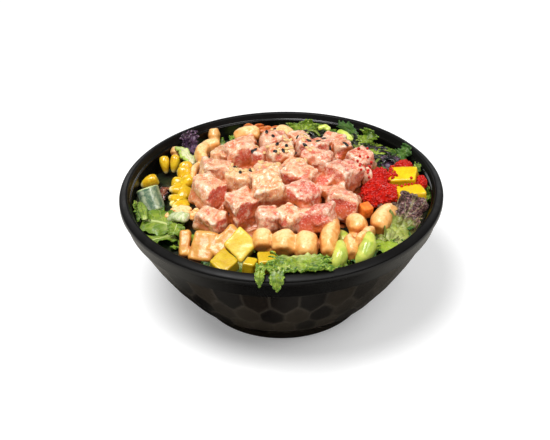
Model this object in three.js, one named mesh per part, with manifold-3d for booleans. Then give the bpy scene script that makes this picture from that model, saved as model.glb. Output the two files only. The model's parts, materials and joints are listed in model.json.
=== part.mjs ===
// Poke bowl: a black takeaway bowl with a hammered wall, filled with salad and toppings.
// Millimetres, +Z up, origin at the middle of the flat base. The front of the bowl faces -Y.
import * as THREE from 'three';
import { ConvexGeometry } from 'three/addons/geometries/ConvexGeometry.js';
import { mergeVertices } from 'three/addons/utils/BufferGeometryUtils.js';
import Module from 'manifold-3d';

const wasm = await Module();
wasm.setup();

// ---- driving dimensions -------------------------------------------------------------------

const rimRadius = 92.5;          // outside of the lip
const bowlHeight = 74;
const footRadius = 50;
const footHeight = 6;
const stepHeight = 60.4;         // lower edge of the plain band under the lip
const bandRadius = 89.3;         // plain band at its lower edge
const lipInnerRadius = 87.5;
const seatRadius = 85.7;         // the lid seat, a small ledge inside the lip
const seatHeight = 70;
const wallThickness = 1.7;       // measured level, on the sloping wall
const floorHeight = 2.7;
const facetsPerRow = 36;
const facetRowHeights = [52.5, 37.5, 23.5, 11];
const lipSegments = 48;
const wallSegments = 36;
const gap = 0.35;                // clear space between neighbouring pieces
const smallestStep = 0.06;       // finer steps than this are smoothed out of a cut solid

const facetStep = 2 * Math.PI / facetsPerRow;

// outside radius of the wall at a height, between the foot and the step
const wallRadius = (z) => 36.2 + 6.0 * Math.sqrt(z) + 0.096 * z;
const wallSlope = (z) => 3.0 / Math.sqrt(z) + 0.096;

// ---- helpers ------------------------------------------------------------------------------

// a small repeatable random source
function makeRandom(seed) {
  let state = seed;
  return () => {
    state = (state * 16807) % 2147483647;
    return state / 2147483647;
  };
}

// closed geometry to solid
function toSolid(geometry) {
  const bare = geometry.index ? geometry.toNonIndexed() : geometry.clone();
  for (const name of Object.keys(bare.attributes)) {
    if (name !== 'position') bare.deleteAttribute(name);
  }
  const merged = mergeVertices(bare, 1e-3);
  const corners = merged.index.array;
  const kept = [];
  for (let i = 0; i < corners.length; i += 3) {
    const [a, b, c] = [corners[i], corners[i + 1], corners[i + 2]];
    if (a !== b && b !== c && c !== a) kept.push(a, b, c);
  }
  const solid = new wasm.Manifold(new wasm.Mesh({
    numProp: 3,
    vertProperties: new Float32Array(merged.attributes.position.array),
    triVerts: new Uint32Array(kept),
  }));
  return solid.volume() < 0 ? toSolid(flipped(merged)) : solid;
}

function flipped(geometry) {
  const result = geometry.clone();
  const corners = result.index.array;
  for (let i = 0; i < corners.length; i += 3) {
    [corners[i], corners[i + 1]] = [corners[i + 1], corners[i]];
  }
  return result;
}

function toGeometry(solid) {
  const mesh = solid.getMesh();
  const geometry = new THREE.BufferGeometry();
  geometry.setAttribute('position', new THREE.BufferAttribute(new Float32Array(mesh.vertProperties), 3));
  geometry.setIndex(new THREE.BufferAttribute(new Uint32Array(mesh.triVerts), 1));
  geometry.computeVertexNormals();
  return geometry;
}

// cuts can leave loose scraps: only the largest body stays
function largest(solid) {
  const bodies = solid.simplify(smallestStep).decompose();
  return bodies.reduce((best, body) => (body.volume() > best.volume() ? body : best), bodies[0]);
}

const join = (solids) => solids.reduce((whole, solid) => whole.add(solid));

function turned(geometry, [x, y, z], [tiltX, tiltY, yaw]) {
  const angles = [tiltX, tiltY, yaw].map(THREE.MathUtils.degToRad);
  const place = new THREE.Matrix4().makeRotationFromEuler(new THREE.Euler(...angles, 'ZYX'));
  place.setPosition(x, y, z);
  return toSolid(geometry.clone().applyMatrix4(place));
}

// a cut cube, a little wider at the foot than at the top, with blunt upper edges or sharp ones
function chunk(at, [w, d, h], turn, grow, taper = 0.06, bluntness = 0.16) {
  const blunt = bluntness * Math.min(w, d, h);
  const foot = [-h / 2 - grow, 0];
  const head = blunt > 0 ? [[h / 2 - blunt + grow, 0], [h / 2 + grow, blunt]] : [[h / 2 + grow, 0]];
  const points = [];
  for (const [z, inset] of [foot, ...head]) {
    for (const sx of [-1, 1]) {
      for (const sy of [-1, 1]) {
        const narrow = 1 - 2 * taper * z / h + 0.04 * sx * sy;
        const [x, y] = [sx * (w / 2 - inset), sy * (d / 2 - inset)];
        points.push(new THREE.Vector3(x * narrow + sx * grow, y * narrow + sy * grow, z));
      }
    }
  }
  return turned(new ConvexGeometry(points), at, turn);
}

// a smooth nugget: bean, kernel or dollop
function nugget(at, [w, d, h], turn, grow, { sides = 7, rings = 4, bend = 0, square = 1 } = {}) {
  const geometry = new THREE.SphereGeometry(1, sides, rings);
  const position = geometry.attributes.position;
  for (let i = 0; i < position.count; i += 1) {
    const unit = [position.getX(i), position.getY(i), position.getZ(i)];
    const [x, y, z] = unit.map((value) => Math.sign(value) * Math.abs(value) ** square);
    const sag = bend * (x * x - 0.5);
    position.setXYZ(i, x * (w / 2 + grow), y * (d / 2 + grow) + sag, z * (h / 2 + grow));
  }
  return turned(geometry, at, turn);
}

const bluntEnds = 0.45;          // 1 makes a strand's ends round, 0 makes them square

// a thick strand along a smooth route: [x, y, z] points, width across, height up
function strand(route, width, height, grow, { sides = 6, rings = 6 } = {}) {
  const curve = new THREE.CatmullRomCurve3(route.map((p) => new THREE.Vector3(...p)));
  const geometry = new THREE.SphereGeometry(1, sides, rings);
  const position = geometry.attributes.position;
  const up = new THREE.Vector3(0, 0, 1);
  for (let i = 0; i < position.count; i += 1) {
    const along = THREE.MathUtils.clamp((1 - position.getY(i)) / 2, 0, 1);
    const flat = new THREE.Vector2(position.getX(i), position.getZ(i));
    const round = flat.length();
    if (round > 1e-6) flat.multiplyScalar(round ** bluntEnds / round);
    const tangent = curve.getTangent(along);
    const side = new THREE.Vector3().crossVectors(tangent, up);
    if (side.length() < 0.05) side.set(1, 0, 0);
    side.normalize();
    const rise = new THREE.Vector3().crossVectors(side, tangent).normalize();
    const point = curve.getPoint(along)
      .addScaledVector(side, flat.x * (width / 2 + grow))
      .addScaledVector(rise, flat.y * (height / 2 + grow))
      .addScaledVector(tangent, (2 * along - 1) * grow);
    position.setXYZ(i, point.x, point.y, point.z);
  }
  return toSolid(geometry);
}

// the middle surface of a leaf: it grows from root along a heading, starts at an angle of lift, bends
// on by curl, leans over to one side by roll and frills towards its edges; a larger tip rounds both
// ends more, and point narrows the far end
function leafSurface(root, heading, shape) {
  const { length, width, curl = 0, lift = 0, roll = 0, frill = 1.5, waves = 2 } = shape;
  const { tip = 0.5, point: narrowing = 0, along = 6, across = 3 } = shape;
  const [turn, rise, bend, lean] = [heading, lift, curl, roll].map(THREE.MathUtils.degToRad);
  const ahead = new THREE.Vector3(Math.cos(turn), Math.sin(turn), 0);
  const left = new THREE.Vector3(-Math.sin(turn), Math.cos(turn), 0);
  const point = new THREE.Vector3(...root);
  const rows = [];
  for (let i = 0; i <= along; i += 1) {
    const u = i / along;
    const pitch = rise + bend * u;
    const tangent = ahead.clone().multiplyScalar(Math.cos(pitch)).setZ(Math.sin(pitch));
    const normal = new THREE.Vector3().crossVectors(tangent, left);
    const side = left.clone().multiplyScalar(Math.cos(lean)).addScaledVector(normal, Math.sin(lean));
    const face = new THREE.Vector3().crossVectors(tangent, side);
    if (i > 0) point.addScaledVector(tangent, length / along);
    const lobes = 1 + 0.12 * Math.sin(9 * u + heading);
    const outline = lobes * Math.sin(Math.PI * (0.14 + 0.72 * u)) ** tip * (1 - narrowing * u * u);
    const row = [];
    for (let j = 0; j <= across; j += 1) {
      const v = 2 * j / across - 1;
      const ruffle = frill * v * v * Math.sin(2 * Math.PI * waves * u + 1.3 * v + heading);
      row.push(point.clone().addScaledVector(side, v * width / 2 * outline).addScaledVector(face, ruffle));
    }
    rows.push(row);
  }
  return rows;
}

// a thin solid round that surface, both faces split alike
function leaf(root, heading, shape, grow) {
  const rows = leafSurface(root, heading, shape);
  const along = rows.length - 1;
  const across = rows[0].length - 1;
  const thick = (shape.thickness ?? 0.8) / 2 + 1.2 * grow;
  const step = (i, j, di, dj) => {
    const ahead = rows[Math.min(i + di, along)][Math.min(j + dj, across)];
    return ahead.clone().sub(rows[Math.max(i - di, 0)][Math.max(j - dj, 0)]).normalize();
  };
  const corner = (i, j, s) => {
    const [lengthways, sideways] = [step(i, j, 1, 0), step(i, j, 0, 1)];
    const ends = (i === along) - (i === 0);
    const edges = (j === across) - (j === 0);
    return rows[i][j].clone()
      .addScaledVector(lengthways, 1.5 * grow * ends)
      .addScaledVector(sideways, 1.5 * grow * edges)
      .addScaledVector(new THREE.Vector3().crossVectors(lengthways, sideways).normalize(), s * thick);
  };
  const triangles = [];
  const quad = (a, b, c, d) => triangles.push(a, b, c, a, c, d);
  for (let i = 0; i < along; i += 1) {
    for (let j = 0; j < across; j += 1) {
      quad(corner(i, j, 1), corner(i + 1, j, 1), corner(i + 1, j + 1, 1), corner(i, j + 1, 1));
      const under = [corner(i, j, -1), corner(i + 1, j, -1), corner(i + 1, j + 1, -1), corner(i, j + 1, -1)];
      triangles.push(under[0], under[2], under[1], under[0], under[3], under[2]);
    }
    quad(corner(i, 0, -1), corner(i + 1, 0, -1), corner(i + 1, 0, 1), corner(i, 0, 1));
    quad(corner(i + 1, across, -1), corner(i, across, -1), corner(i, across, 1), corner(i + 1, across, 1));
  }
  for (let j = 0; j < across; j += 1) {
    quad(corner(0, j + 1, -1), corner(0, j, -1), corner(0, j, 1), corner(0, j + 1, 1));
    quad(corner(along, j, -1), corner(along, j + 1, -1), corner(along, j + 1, 1), corner(along, j, 1));
  }
  return toSolid(new THREE.BufferGeometry().setFromPoints(triangles));
}

// a low mound with an oval foot and a flat underside
function mound([x, y, z], [w, d, h], grow, sides = 14) {
  const profile = [[0, -grow], [1, -grow], [1, 0.2], [0.8, 0.75], [0, 1]];
  const points = profile.map(([r, t], k) => new THREE.Vector2(r, k < 2 ? t : t * (h + grow)));
  const geometry = new THREE.LatheGeometry(points, sides).rotateX(Math.PI / 2);
  return toSolid(geometry.scale(w / 2 + grow, d / 2 + grow, 1).translate(x, y, z));
}

const polar = (azimuth, radius, z) => {
  const angle = THREE.MathUtils.degToRad(azimuth);
  return [radius * Math.cos(angle), radius * Math.sin(angle), z];
};

// ---- the bowl -----------------------------------------------------------------------------

// the inside of the bowl from the lip down to the middle of the floor, drawn in by grow
function insideProfile(grow) {
  const heights = [56, 34, 16, 7];
  return [
    [lipInnerRadius - grow, bowlHeight - 0.3],
    [seatRadius - grow, seatHeight + 0.3 * grow],
    ...heights.map((z) => [Math.min(seatRadius, wallRadius(z) - wallThickness) - grow, z + 0.4 * grow]),
    [wallRadius(floorHeight) - wallThickness - grow - 2, floorHeight + grow],
    [0, floorHeight + grow],
  ];
}

// the lip: a flat crown that slopes down a little on its way out, with a turned-down edge
function lipProfile(grow) {
  return [
    [bandRadius + 0.9 + grow, bowlHeight - 5.2 - grow],
    [rimRadius + grow, bowlHeight - 4.8 - grow],
    [rimRadius + grow, bowlHeight - 2.4],
    [rimRadius - 0.9 + grow, bowlHeight - 1.2 + grow],
    [lipInnerRadius + 1.2, bowlHeight + grow],
  ];
}

function lathe(profile, segments) {
  const points = profile.map(([r, z]) => new THREE.Vector2(r, z));
  return toSolid(new THREE.LatheGeometry(points, segments).rotateX(Math.PI / 2));
}

// the flat hammered faces: each is a plane that just cuts the swelling wall
function hammered(wall) {
  let solid = wall;
  facetRowHeights.forEach((z, row) => {
    const slope = Math.atan(wallSlope(z));
    const reach = wallRadius(z) * Math.cos(facetStep / 4);
    const offset = reach * Math.cos(slope) - z * Math.sin(slope);
    for (let k = 0; k < facetsPerRow; k += 1) {
      const turn = facetStep * (k + (row % 2) / 2);
      const outward = [Math.cos(turn) * Math.cos(slope), Math.sin(turn) * Math.cos(slope), -Math.sin(slope)];
      solid = solid.trimByPlane(outward.map((value) => -value), -offset);
    }
  });
  return solid;
}

function makeBowl() {
  const wallHeights = [footHeight, 18, 34, stepHeight + 0.4];
  const wall = lathe([
    [0, footHeight],
    ...wallHeights.map((z) => [wallRadius(z) + 1.5, z]),
    [0, stepHeight + 0.4],
  ], wallSegments);
  const band = lathe([
    [0, stepHeight],
    [bandRadius, stepHeight],
    ...lipProfile(0),
    [lipInnerRadius, bowlHeight - 0.3],
    [0, bowlHeight - 0.3],
  ], lipSegments);
  const foot = lathe([
    [0, 0],
    [footRadius, 0],
    [footRadius + 0.8, footHeight + 0.2],
    [0, footHeight + 0.2],
  ], wallSegments);
  const mouth = [[0, bowlHeight + 1], [lipInnerRadius, bowlHeight + 1]];
  const hollow = lathe([...mouth, ...insideProfile(0)], wallSegments);
  return largest(join([hammered(wall), band, foot]).subtract(hollow));
}

// the space that the food stays out of: the bowl with its gap
function bowlKeepOut(segments) {
  return lathe([
    ...insideProfile(gap),
    [0, 0],
    [bandRadius + gap, 0],
    ...lipProfile(gap),
    [lipInnerRadius - gap, bowlHeight + gap],
    [lipInnerRadius - gap, bowlHeight - 0.3],
  ], segments);
}

// ---- cubes, kernels and beans ---------------------------------------------------------------

// mango: [name, place, size, turn]
const mangoCubes = [
  ['mango_front_1', [-22.2, -58.7, 71.4], [14, 14, 13], [35, -30, 35]],
  ['mango_front_2', [-30.7, -71.6, 68], [12, 12, 11], [14, -14, 43]],
  ['mango_front_3', [-17.5, -78, 70], [6.5, 7, 12], [0, 6, -20]],
  ['mango_front_4', [-8.5, -75.5, 71], [10, 9, 12], [6, 0, 4]],
  ['mango_right_1', [70.5, 1, 73], [16, 13, 12], [10, -6, -12]],
  ['mango_right_2', [72, -15.8, 71.5], [17, 12, 12], [-6, 4, 12]],
];

// sweet corn on its own, two upright and one lying: [name, place, turn]
const cornKernels = [
  ['corn_kernel_1', [-69.8, 36.6, 67.4], [4, -30, -85]],
  ['corn_kernel_2', [-63.4, 34.6, 69], [-5, -36, -98]],
  ['corn_kernel_3', [-77.6, 20, 65], [0, 72, 15]],
];
const kernelSize = [8, 6, 12];

const edamameBeans = [
  ['edamame_1', [42.6, -67.5, 74], [20, 9, 10.5], [8, -34, 62]],
  ['edamame_2', [28.6, -70.4, 72.5], [17, 8, 9], [-10, -30, 70]],
  ['edamame_3', [31, -52, 70.5], [11, 8, 8], [0, 10, 120]],
];

// ---- tuna -----------------------------------------------------------------------------------

// cubes of the heap: place, size, turn
const tunaCubes = [
  [[-41.2, -15, 79], [16, 18, 16], [4, 6, 42]],
  [[-36.5, 10, 77], [18, 14, 12], [0, 8, 10]],
  [[-23, 25, 81], [18, 15, 15], [8, -6, 24]],
  [[-10.6, 19.5, 79.5], [10, 10, 11], [0, 8, 50]],
  [[0.8, 14.5, 83], [16, 14, 14], [4, -3, 4]],
  [[-3.3, 37, 79.5], [16, 13, 12], [-4, 6, 8]],
  [[20.5, 31, 80], [21, 11, 11], [3, 3, -6]],
  [[20.5, 12.5, 80.5], [19, 14, 13], [4, 8, -22]],
  [[37.4, 28, 78], [11, 12, 12], [0, 0, 10]],
  [[47.5, 16.5, 77], [14, 15, 13], [4, -8, 35]],
  [[34.8, -7, 82.5], [19, 17, 15], [6, 8, 44]],
  [[48.6, 1.5, 75.5], [8, 10, 9], [0, 10, 20]],
  [[33.6, -30.5, 78.5], [18, 14, 13], [-12, 12, -18]],
  [[10, -10.5, 84], [17, 15, 12], [6, 10, -30]],
  [[22.8, -13, 78], [10, 13, 12], [0, 0, -25]],
  [[11.2, -29.5, 83], [18, 17, 13], [8, 6, 46]],
  [[-7.5, -26.5, 86], [16.5, 17, 18], [14, -4, 12]],
  [[-22, -34.5, 79.5], [15, 15, 17], [10, 0, 30]],
  [[-38.2, -40, 76], [15.5, 12, 12], [6, 10, -32]],
  [[-7.5, -46.5, 79.5], [13, 12, 13], [0, 4, 6]],
  [[4.6, -46.5, 79.5], [13, 15, 15], [12, -8, 40]],
  [[18, -47.5, 80], [19, 15, 13], [-10, -14, -12]],
  [[-23, -8.5, 81], [16, 14, 12], [4, 4, -16]],
  [[-34, 28, 75.5], [13, 12, 11], [0, 6, 60]],
  [[12, 45, 76], [14, 12, 11], [6, 0, 30]],
  [[33, 43, 74.5], [14, 12, 11], [8, 6, -20]],
  [[-19, 43, 75], [13, 12, 11], [0, -8, 14]],
  [[-5.5, -6.5, 82], [17, 15, 13], [-4, 6, 20]],
  [[8.5, 1.5, 80.5], [13, 13, 13], [4, -4, 60]],
  [[29, -23, 78], [12, 12, 12], [6, 0, 24]],
];

// sesame seeds: places on the heap where a seed lies, its heading
const sesameSeeds = [
  [-10.5, 30, 10], [0.5, 22.5, 70], [-1.5, 17, 20], [8.2, 20.5, 130], [11, 35, 160], [19.5, 34.5, 150],
  [26.5, 33.5, 10], [-14.5, 19.5, 60], [-23.6, 10.5, 80], [-24, 4, 150], [-25.5, -3, 30], [-13.5, 6, 80],
  [-5.5, 5.5, 25], [2.5, -4.5, 110], [17, 20.5, 20], [39, 12, 110],
];
const seedSize = [3.2, 1.7, 1.0];
const seedLift = 0.1;            // height of a seed's middle over what it lies on

const tunaMound = { at: [2, -6, 65.6], size: [100, 90, 12.5] };

function makeTuna(grow) {
  const cubes = tunaCubes.map(([at, size, turn]) => chunk(at, size, turn, grow, 0.07, 0));
  return join([mound(tunaMound.at, tunaMound.size, grow), ...cubes]);
}

// drops each seed onto the heap from above and fuses it there
function withSeeds(heap) {
  const seeds = sesameSeeds.map(([x, y, heading]) => {
    const hits = heap.rayCast([x, y, 120], [x, y, 60]);
    const top = 120 - 60 * Math.min(...hits.map((hit) => hit.distance ?? 1));
    return [x, y, top, heading];
  });
  const coarse = { sides: 5, rings: 3 };
  const solids = seeds.map(([x, y, top, heading]) => (
    nugget([x, y, top + seedLift], seedSize, [0, 0, heading], 0, coarse)));
  return join([heap, ...solids]);
}

// ---- sauce: thick piped ribbons and dabs ------------------------------------------------------

// coated slabs that lean against the heap: name, place, size, turn
const sauceSlabs = [
  ['sauce_front_left_1', [-51.9, -54.2, 70.6], [6, 15, 8], [40, 0, 0]],
  ['sauce_front_left_2', [-41.5, -58.6, 71], [13, 17, 8], [38, 0, -18.6]],
  ['sauce_front_left_3', [-30.5, -57.5, 73.4], [9, 20, 8], [28, 25, -40]],
];
const slabTaper = 0.03;

// name, route, width, height
const sauceSink = 3;             // how much further than its height a ribbon reaches down
const sauceStrands = [
  ['sauce_front_1', [[-10.5, -56.5, 76.2], [-10.6, -60.5, 77.3], [-10.8, -65.5, 75.2]], 11.5, 10],
  ['sauce_front_2', [[1, -59, 76], [0.6, -64, 77.4], [0.2, -69.5, 75]], 14.5, 11],
  ['sauce_front_3', [[12.5, -58.5, 76], [12, -66, 77.2], [11.4, -73, 74.6]], 12.5, 10.5],
  ['sauce_front_4', [[27.5, -41, 77.4], [25.6, -52, 78], [23.8, -63, 77], [22.8, -71.5, 74.6]], 9.5, 10],
  ['sauce_right_1', [[36.5, -41.5, 76.8], [40.5, -47.5, 76.6], [37.5, -52.5, 75.4]], 10.5, 9],
  ['sauce_right_2', [[35.6, -57.5, 75], [34.8, -64, 74.6], [35.6, -71.4, 73.6]], 8, 8.5],
  ['sauce_right_3', [[48, -50.5, 75.4], [43.6, -58, 77.6], [38.8, -67, 80]], 6, 5],
  ['sauce_right_4', [[61, -31, 74.8], [54.5, -40.5, 76.4], [50.8, -50, 75]], 11, 9.5],
  ['sauce_left_1', [[-44.5, 25, 75.6], [-47.2, 34, 76], [-43.6, 43.5, 75.6], [-36, 43.5, 77.6]], 8, 8],
  ['sauce_left_2', [[-48.6, 26, 73], [-50.4, 17, 74], [-51.2, 7, 74]], 5.5, 5.5],
  ['sauce_wall_1', [[-41.6, 73.8, 73.2], [-41, 71, 67.6], [-40.6, 66, 63]], 7.5, 5],
  ['sauce_wall_2', [[-64.6, 53.2, 71.8], [-64.2, 51, 67.6], [-62.5, 46.5, 64]], 5.5, 5],
  ['sauce_back_1', [[-27.5, 52.5, 77.4], [-19.5, 52.8, 79.6], [-11.5, 51.8, 79.8]], 11, 7],
  ['sauce_back_2', [[-1.5, 51.5, 78.2], [3, 52.2, 80], [8.5, 47, 77.4]], 10, 7],
];

function makeSauce(route, width, height, grow) {
  const sunk = route.map(([x, y, z]) => [x, y, z - sauceSink / 2]);
  return strand(sunk, width, height + sauceSink, grow);
}

// ---- leaves -----------------------------------------------------------------------------------

const narrow = { along: 5, across: 2 };
const long = { along: 9, waves: 2.6 };
const rib = { thickness: 2 };
const overRim = { along: 4, across: 2, lift: 20, frill: 0.2, waves: 1, tip: 0.4, point: 0.8 };

// each blade of a leaf: root, heading, shape
const leaves = {
  lettuce_front: [
    [[8.5, -74.5, 75.2], -93, { length: 14, width: 31, curl: -12, lift: 10, frill: 1.1, tip: 0.35 }],
    [[-3.5, -85.9, 76.5], -92, { ...overRim, curl: -110, length: 14, width: 9 }],
    [[-11.5, -85.2, 76.9], -98, { ...overRim, curl: -100, length: 12, width: 6 }],
    [[3, -85, 76.4], -178, { along: 3, across: 2, length: 17, width: 6, lift: 2, frill: 0, tip: 0.4 }],
  ],
  lollo_rosso: [
    [[57, -57.5, 70.6], 62, { ...long, length: 37, width: 18, curl: 22, lift: 2, roll: 26, frill: 3.2 }],
    [[55.5, -54, 69.4], 84, { ...narrow, length: 24, width: 14, curl: 20, lift: 10, roll: 4, frill: 2.4 }],
  ],
  lettuce_left: [
    [[-60, -33, 68], 152, { length: 20, width: 19, curl: -34, lift: 14, roll: -14, frill: 2.2, waves: 1.8 }],
    [[-59, -40, 67], 204, { length: 19, width: 16, curl: -16, lift: 8, roll: 16, frill: 2.2, waves: 1.8 }],
    [[-75.5, -29, 70.4], 103, { ...narrow, length: 19, width: 4.5, curl: -8, lift: 4, frill: 0.4 }],
  ],
  red_leaf: [
    [[-61, 12, 67.6], 237, { length: 20, width: 11, curl: -24, lift: 14, roll: 26, frill: 1.4 }],
  ],
  purple_leaf: [
    [[-52, 56, 61], 106, { ...narrow, length: 17, width: 7, curl: 30, lift: 32, roll: 10, frill: 2 }],
    [[-53, 57, 60.5], 138, { ...narrow, length: 17, width: 6, curl: 26, lift: 32, roll: -16, frill: 2 }],
  ],
  cabbage_rib: [
    [[-53, 30, 71], 112, { ...rib, length: 22, width: 8.5, curl: -18, lift: 10, roll: 24, frill: 0.8 }],
  ],
  lettuce_back: [
    [[15.5, 62.5, 71.5], 97, { length: 11, width: 19, curl: 26, lift: 3, frill: 2.2, waves: 2.2 }],
  ],
  lettuce_curly: [
    [[50, 48, 69.5], 46, { length: 13, width: 12, curl: 40, lift: 14, roll: -8, frill: 2.2, waves: 2 }],
  ],
  lettuce_side: [
    [[69, 33, 68], 32, { ...narrow, length: 13, width: 9, curl: 36, lift: 10, roll: 10, frill: 1.6 }],
  ],
  wall_leaf: [
    [[49, 66, 66.5], 122, { ...narrow, length: 18, width: 7, curl: -16, lift: 22, roll: -58, frill: 0.6 }],
  ],
  edge_leaf: [
    [[80, 27.5, 67.5], -80, { ...narrow, length: 11, width: 6, curl: 20, lift: 4, roll: 50, frill: 0.6 }],
  ],
  small_leaf: [
    [[-82.5, -7.5, 68.5], -78, { ...narrow, length: 13, width: 5.5, curl: -26, roll: -48, frill: 0.6 }],
  ],
};

function makeLeaves(name, grow) {
  return join(leaves[name].map(([root, heading, shape]) => leaf(root, heading, shape, grow)));
}

// ---- heaps ------------------------------------------------------------------------------------

// corn: a low core with kernels on it that lie in a loose band
const heapKernels = [            // place, turn
  [[-56.3, 13, 73.4], [0, -57, 90]], [[-58.5, -2, 72.4], [10, 10, 12]], [[-59.6, 4.6, 71.4], [10, -50, 70]],
  [[-58.6, -11.5, 71.4], [-10, 12, -25]], [[-55, -7.5, 73], [20, -10, 60]],
  [[-54.8, 4.5, 73.4], [0, -30, 20]], [[-55.6, 22, 71.8], [0, -60, 110]], [[-56.5, -16, 70.6], [10, 10, 40]],
];

const cornRoute = [[-56.5, -14, 66.5], [-57, -2, 67.5], [-56, 12, 68], [-55.5, 23, 66.5]];
const cornCore = { width: 10, height: 8 };
const lyingKernel = [11.5, 8, 6.5];

function makeCorn(grow) {
  const core = strand(cornRoute, cornCore.width, cornCore.height, grow, { rings: 4 });
  const kernels = heapKernels.map(([at, turn]) => chunk(at, lyingKernel, turn, grow, 0.16, 0));
  return join([core, ...kernels]);
}

// fish roe: an uneven mound whose skin is a crowd of low bumps
const roeRelief = 0.1;           // depth of the bumps, of the heap's own radius

function makeRoeLump([at, size, detail], grow, bumps) {
  const geometry = new THREE.IcosahedronGeometry(1, detail);
  const position = geometry.attributes.position;
  for (let i = 0; i < position.count; i += 1) {
    const p = new THREE.Vector3().fromBufferAttribute(position, i);
    const waves = Math.sin(bumps * p.x + 1) * Math.sin(bumps * p.y + 2) * Math.sin(bumps * p.z + 3);
    p.multiplyScalar(1 + roeRelief * waves);
    position.setXYZ(i, ...size.map((value, k) => p.getComponent(k) * (value / 2 + grow) + at[k]));
  }
  return toSolid(geometry);
}

const makeRoe = (lumps, grow, bumps) => join(lumps.map((lump) => makeRoeLump(lump, grow, bumps)));

// name, the place, size and fineness of each lump, number of bumps
const roeHeaps = [
  ['roe_heap', [
    [[53.8, -14, 74], [18, 25, 12], 2],
    [[57.2, 1.5, 75], [12, 17, 9], 1],
    [[61.5, -14.5, 74], [12, 15, 9], 1],
  ], 4],
  ['roe_back', [[[72.4, 15.4, 74], [10, 10, 6.5], 1]], 3],
  ['roe_right', [[[80.2, -1.4, 72.4], [7, 9.5, 8.5], 1]], 3],
];

// seaweed salad: a bank along the back of the wall with loose strips on it
const seaweedBank = { azimuths: [96, 76, 58, 42, 26], radius: 68, z: 66, width: 20, height: 8 };
const seaweedStrips = { count: 7, first: 95, step: 10, radius: 61, scatter: 14, z: 70.2 };
const seaweedStrip = { width: 3.2, height: 1.6 };

function makeSeaweed(grow) {
  const random = makeRandom(29);
  const { azimuths, radius, z, width, height } = seaweedBank;
  const bankRoute = azimuths.map((azimuth) => polar(azimuth, radius, z));
  const bank = strand(bankRoute, width, height, grow, { rings: 7 });
  const solids = [bank];
  for (let k = 0; k < seaweedStrips.count; k += 1) {
    const azimuth = seaweedStrips.first - seaweedStrips.step * k;
    const middle = seaweedStrips.radius + seaweedStrips.scatter * random();
    const spread = 8 + 6 * random();
    const top = seaweedStrips.z + 2.2 * random();
    const route = [
      polar(azimuth + spread, middle + 3 * random(), top - 2.5),
      polar(azimuth, middle, top),
      polar(azimuth - spread, middle + 6 * random() - 3, top - 2.5),
    ];
    solids.push(strand(route, seaweedStrip.width, seaweedStrip.height, grow, { sides: 4, rings: 4 }));
  }
  return join(solids);
}

// carrot: a little tangle of thin sticks behind the tuna
const carrotCore = { at: [-9.5, 59.5, 74.5], size: [17, 7, 8], turn: [0, 0, 4] };
const carrotSticks = { count: 4, first: -16, step: 4.4, z: 78, thickness: 1.9 };

function makeCarrot(grow) {
  const random = makeRandom(13);
  const { count, first, step, z, thickness } = carrotSticks;
  const solids = [nugget(carrotCore.at, carrotCore.size, carrotCore.turn, grow)];
  for (let k = 0; k < count; k += 1) {
    const x = first + step * k;
    const lean = 5 * (random() - 0.5);
    const top = z + 2 * random();
    const middle = [x, 60.5 + lean / 2, top];
    const route = [[x - 4, 61.5 - lean, top - 3], middle, [x + 4.5, 59.5 + lean, top - 2.5]];
    solids.push(strand(route, thickness, thickness, grow, { sides: 4, rings: 4 }));
  }
  return join(solids);
}

// salad: the bed under everything, with leaf edges that stand out of it round the wall
const bedSegments = 24;
const bedRadii = [40, 52, 64, 75, 86];
const bedLevel = 67;
const bedDip = { radius: bedRadii[0], depth: 2.6 };   // the low middle that carries the fish
const bedHollow = { x: -54, y: 53, depth: 7.5, spread: 17 };
const bedTop = (x, y) => {
  const away = ((x - bedHollow.x) ** 2 + (y - bedHollow.y) ** 2) / (2 * bedHollow.spread ** 2);
  const edge = Math.max(0, Math.hypot(x, y) - 62);
  const dip = Math.hypot(x, y) <= bedDip.radius ? bedDip.depth : 0;
  return bedLevel - 0.02 * y + 0.016 * x - bedHollow.depth * Math.exp(-away) - 0.13 * edge - dip;
};

function makeBedCore(grow) {
  const top = [];
  const ruffle = (azimuth, radius) => (radius < 50 ? 0 : 1.1 * Math.sin(7 * azimuth) * Math.sin(radius / 4));
  const node = (radius, k) => {
    const azimuth = 2 * Math.PI * k / bedSegments;
    const [x, y] = [radius * Math.cos(azimuth), radius * Math.sin(azimuth)];
    return new THREE.Vector3(x, y, bedTop(x, y) + ruffle(azimuth, radius) + grow);
  };
  const low = (radius, k) => node(radius, k).setZ(1);
  const middle = new THREE.Vector3(0, 0, bedTop(0, 0) + grow);
  const bottom = new THREE.Vector3(0, 0, 1);
  const outer = bedRadii[bedRadii.length - 1];
  for (let k = 0; k < bedSegments; k += 1) {
    top.push(middle, node(bedRadii[0], k), node(bedRadii[0], k + 1));
    for (let i = 1; i < bedRadii.length; i += 1) {
      const [a, b] = [node(bedRadii[i - 1], k), node(bedRadii[i], k)];
      const [c, d] = [node(bedRadii[i], k + 1), node(bedRadii[i - 1], k + 1)];
      top.push(a, b, c, a, c, d);
    }
    top.push(node(outer, k), low(outer, k), low(outer, k + 1));
    top.push(node(outer, k), low(outer, k + 1), node(outer, k + 1));
    top.push(bottom, low(outer, k + 1), low(outer, k));
  }
  return toSolid(new THREE.BufferGeometry().setFromPoints(top));
}

// azimuth, radius, heading from there, length, width, lift, roll
const bedLeaves = [
  [118, 64, 128, 16, 13, 8, -12], [153, 70, 175, 12, 11, 10, 14],
  [175, 68, 190, 13, 10, 8, 12], [206, 70, 236, 13, 11, 8, 10], [230, 72, 250, 12, 10, 8, 12],
  [252, 76, 288, 12, 7, 4, 10], [299, 78, 336, 13, 7, 4, -12], [18, 68, 36, 12, 9, 12, -12],
];

const bedLeafShape = { curl: 14, frill: 1.6, waves: 1.8, thickness: 1, along: 3, across: 2 };

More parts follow.
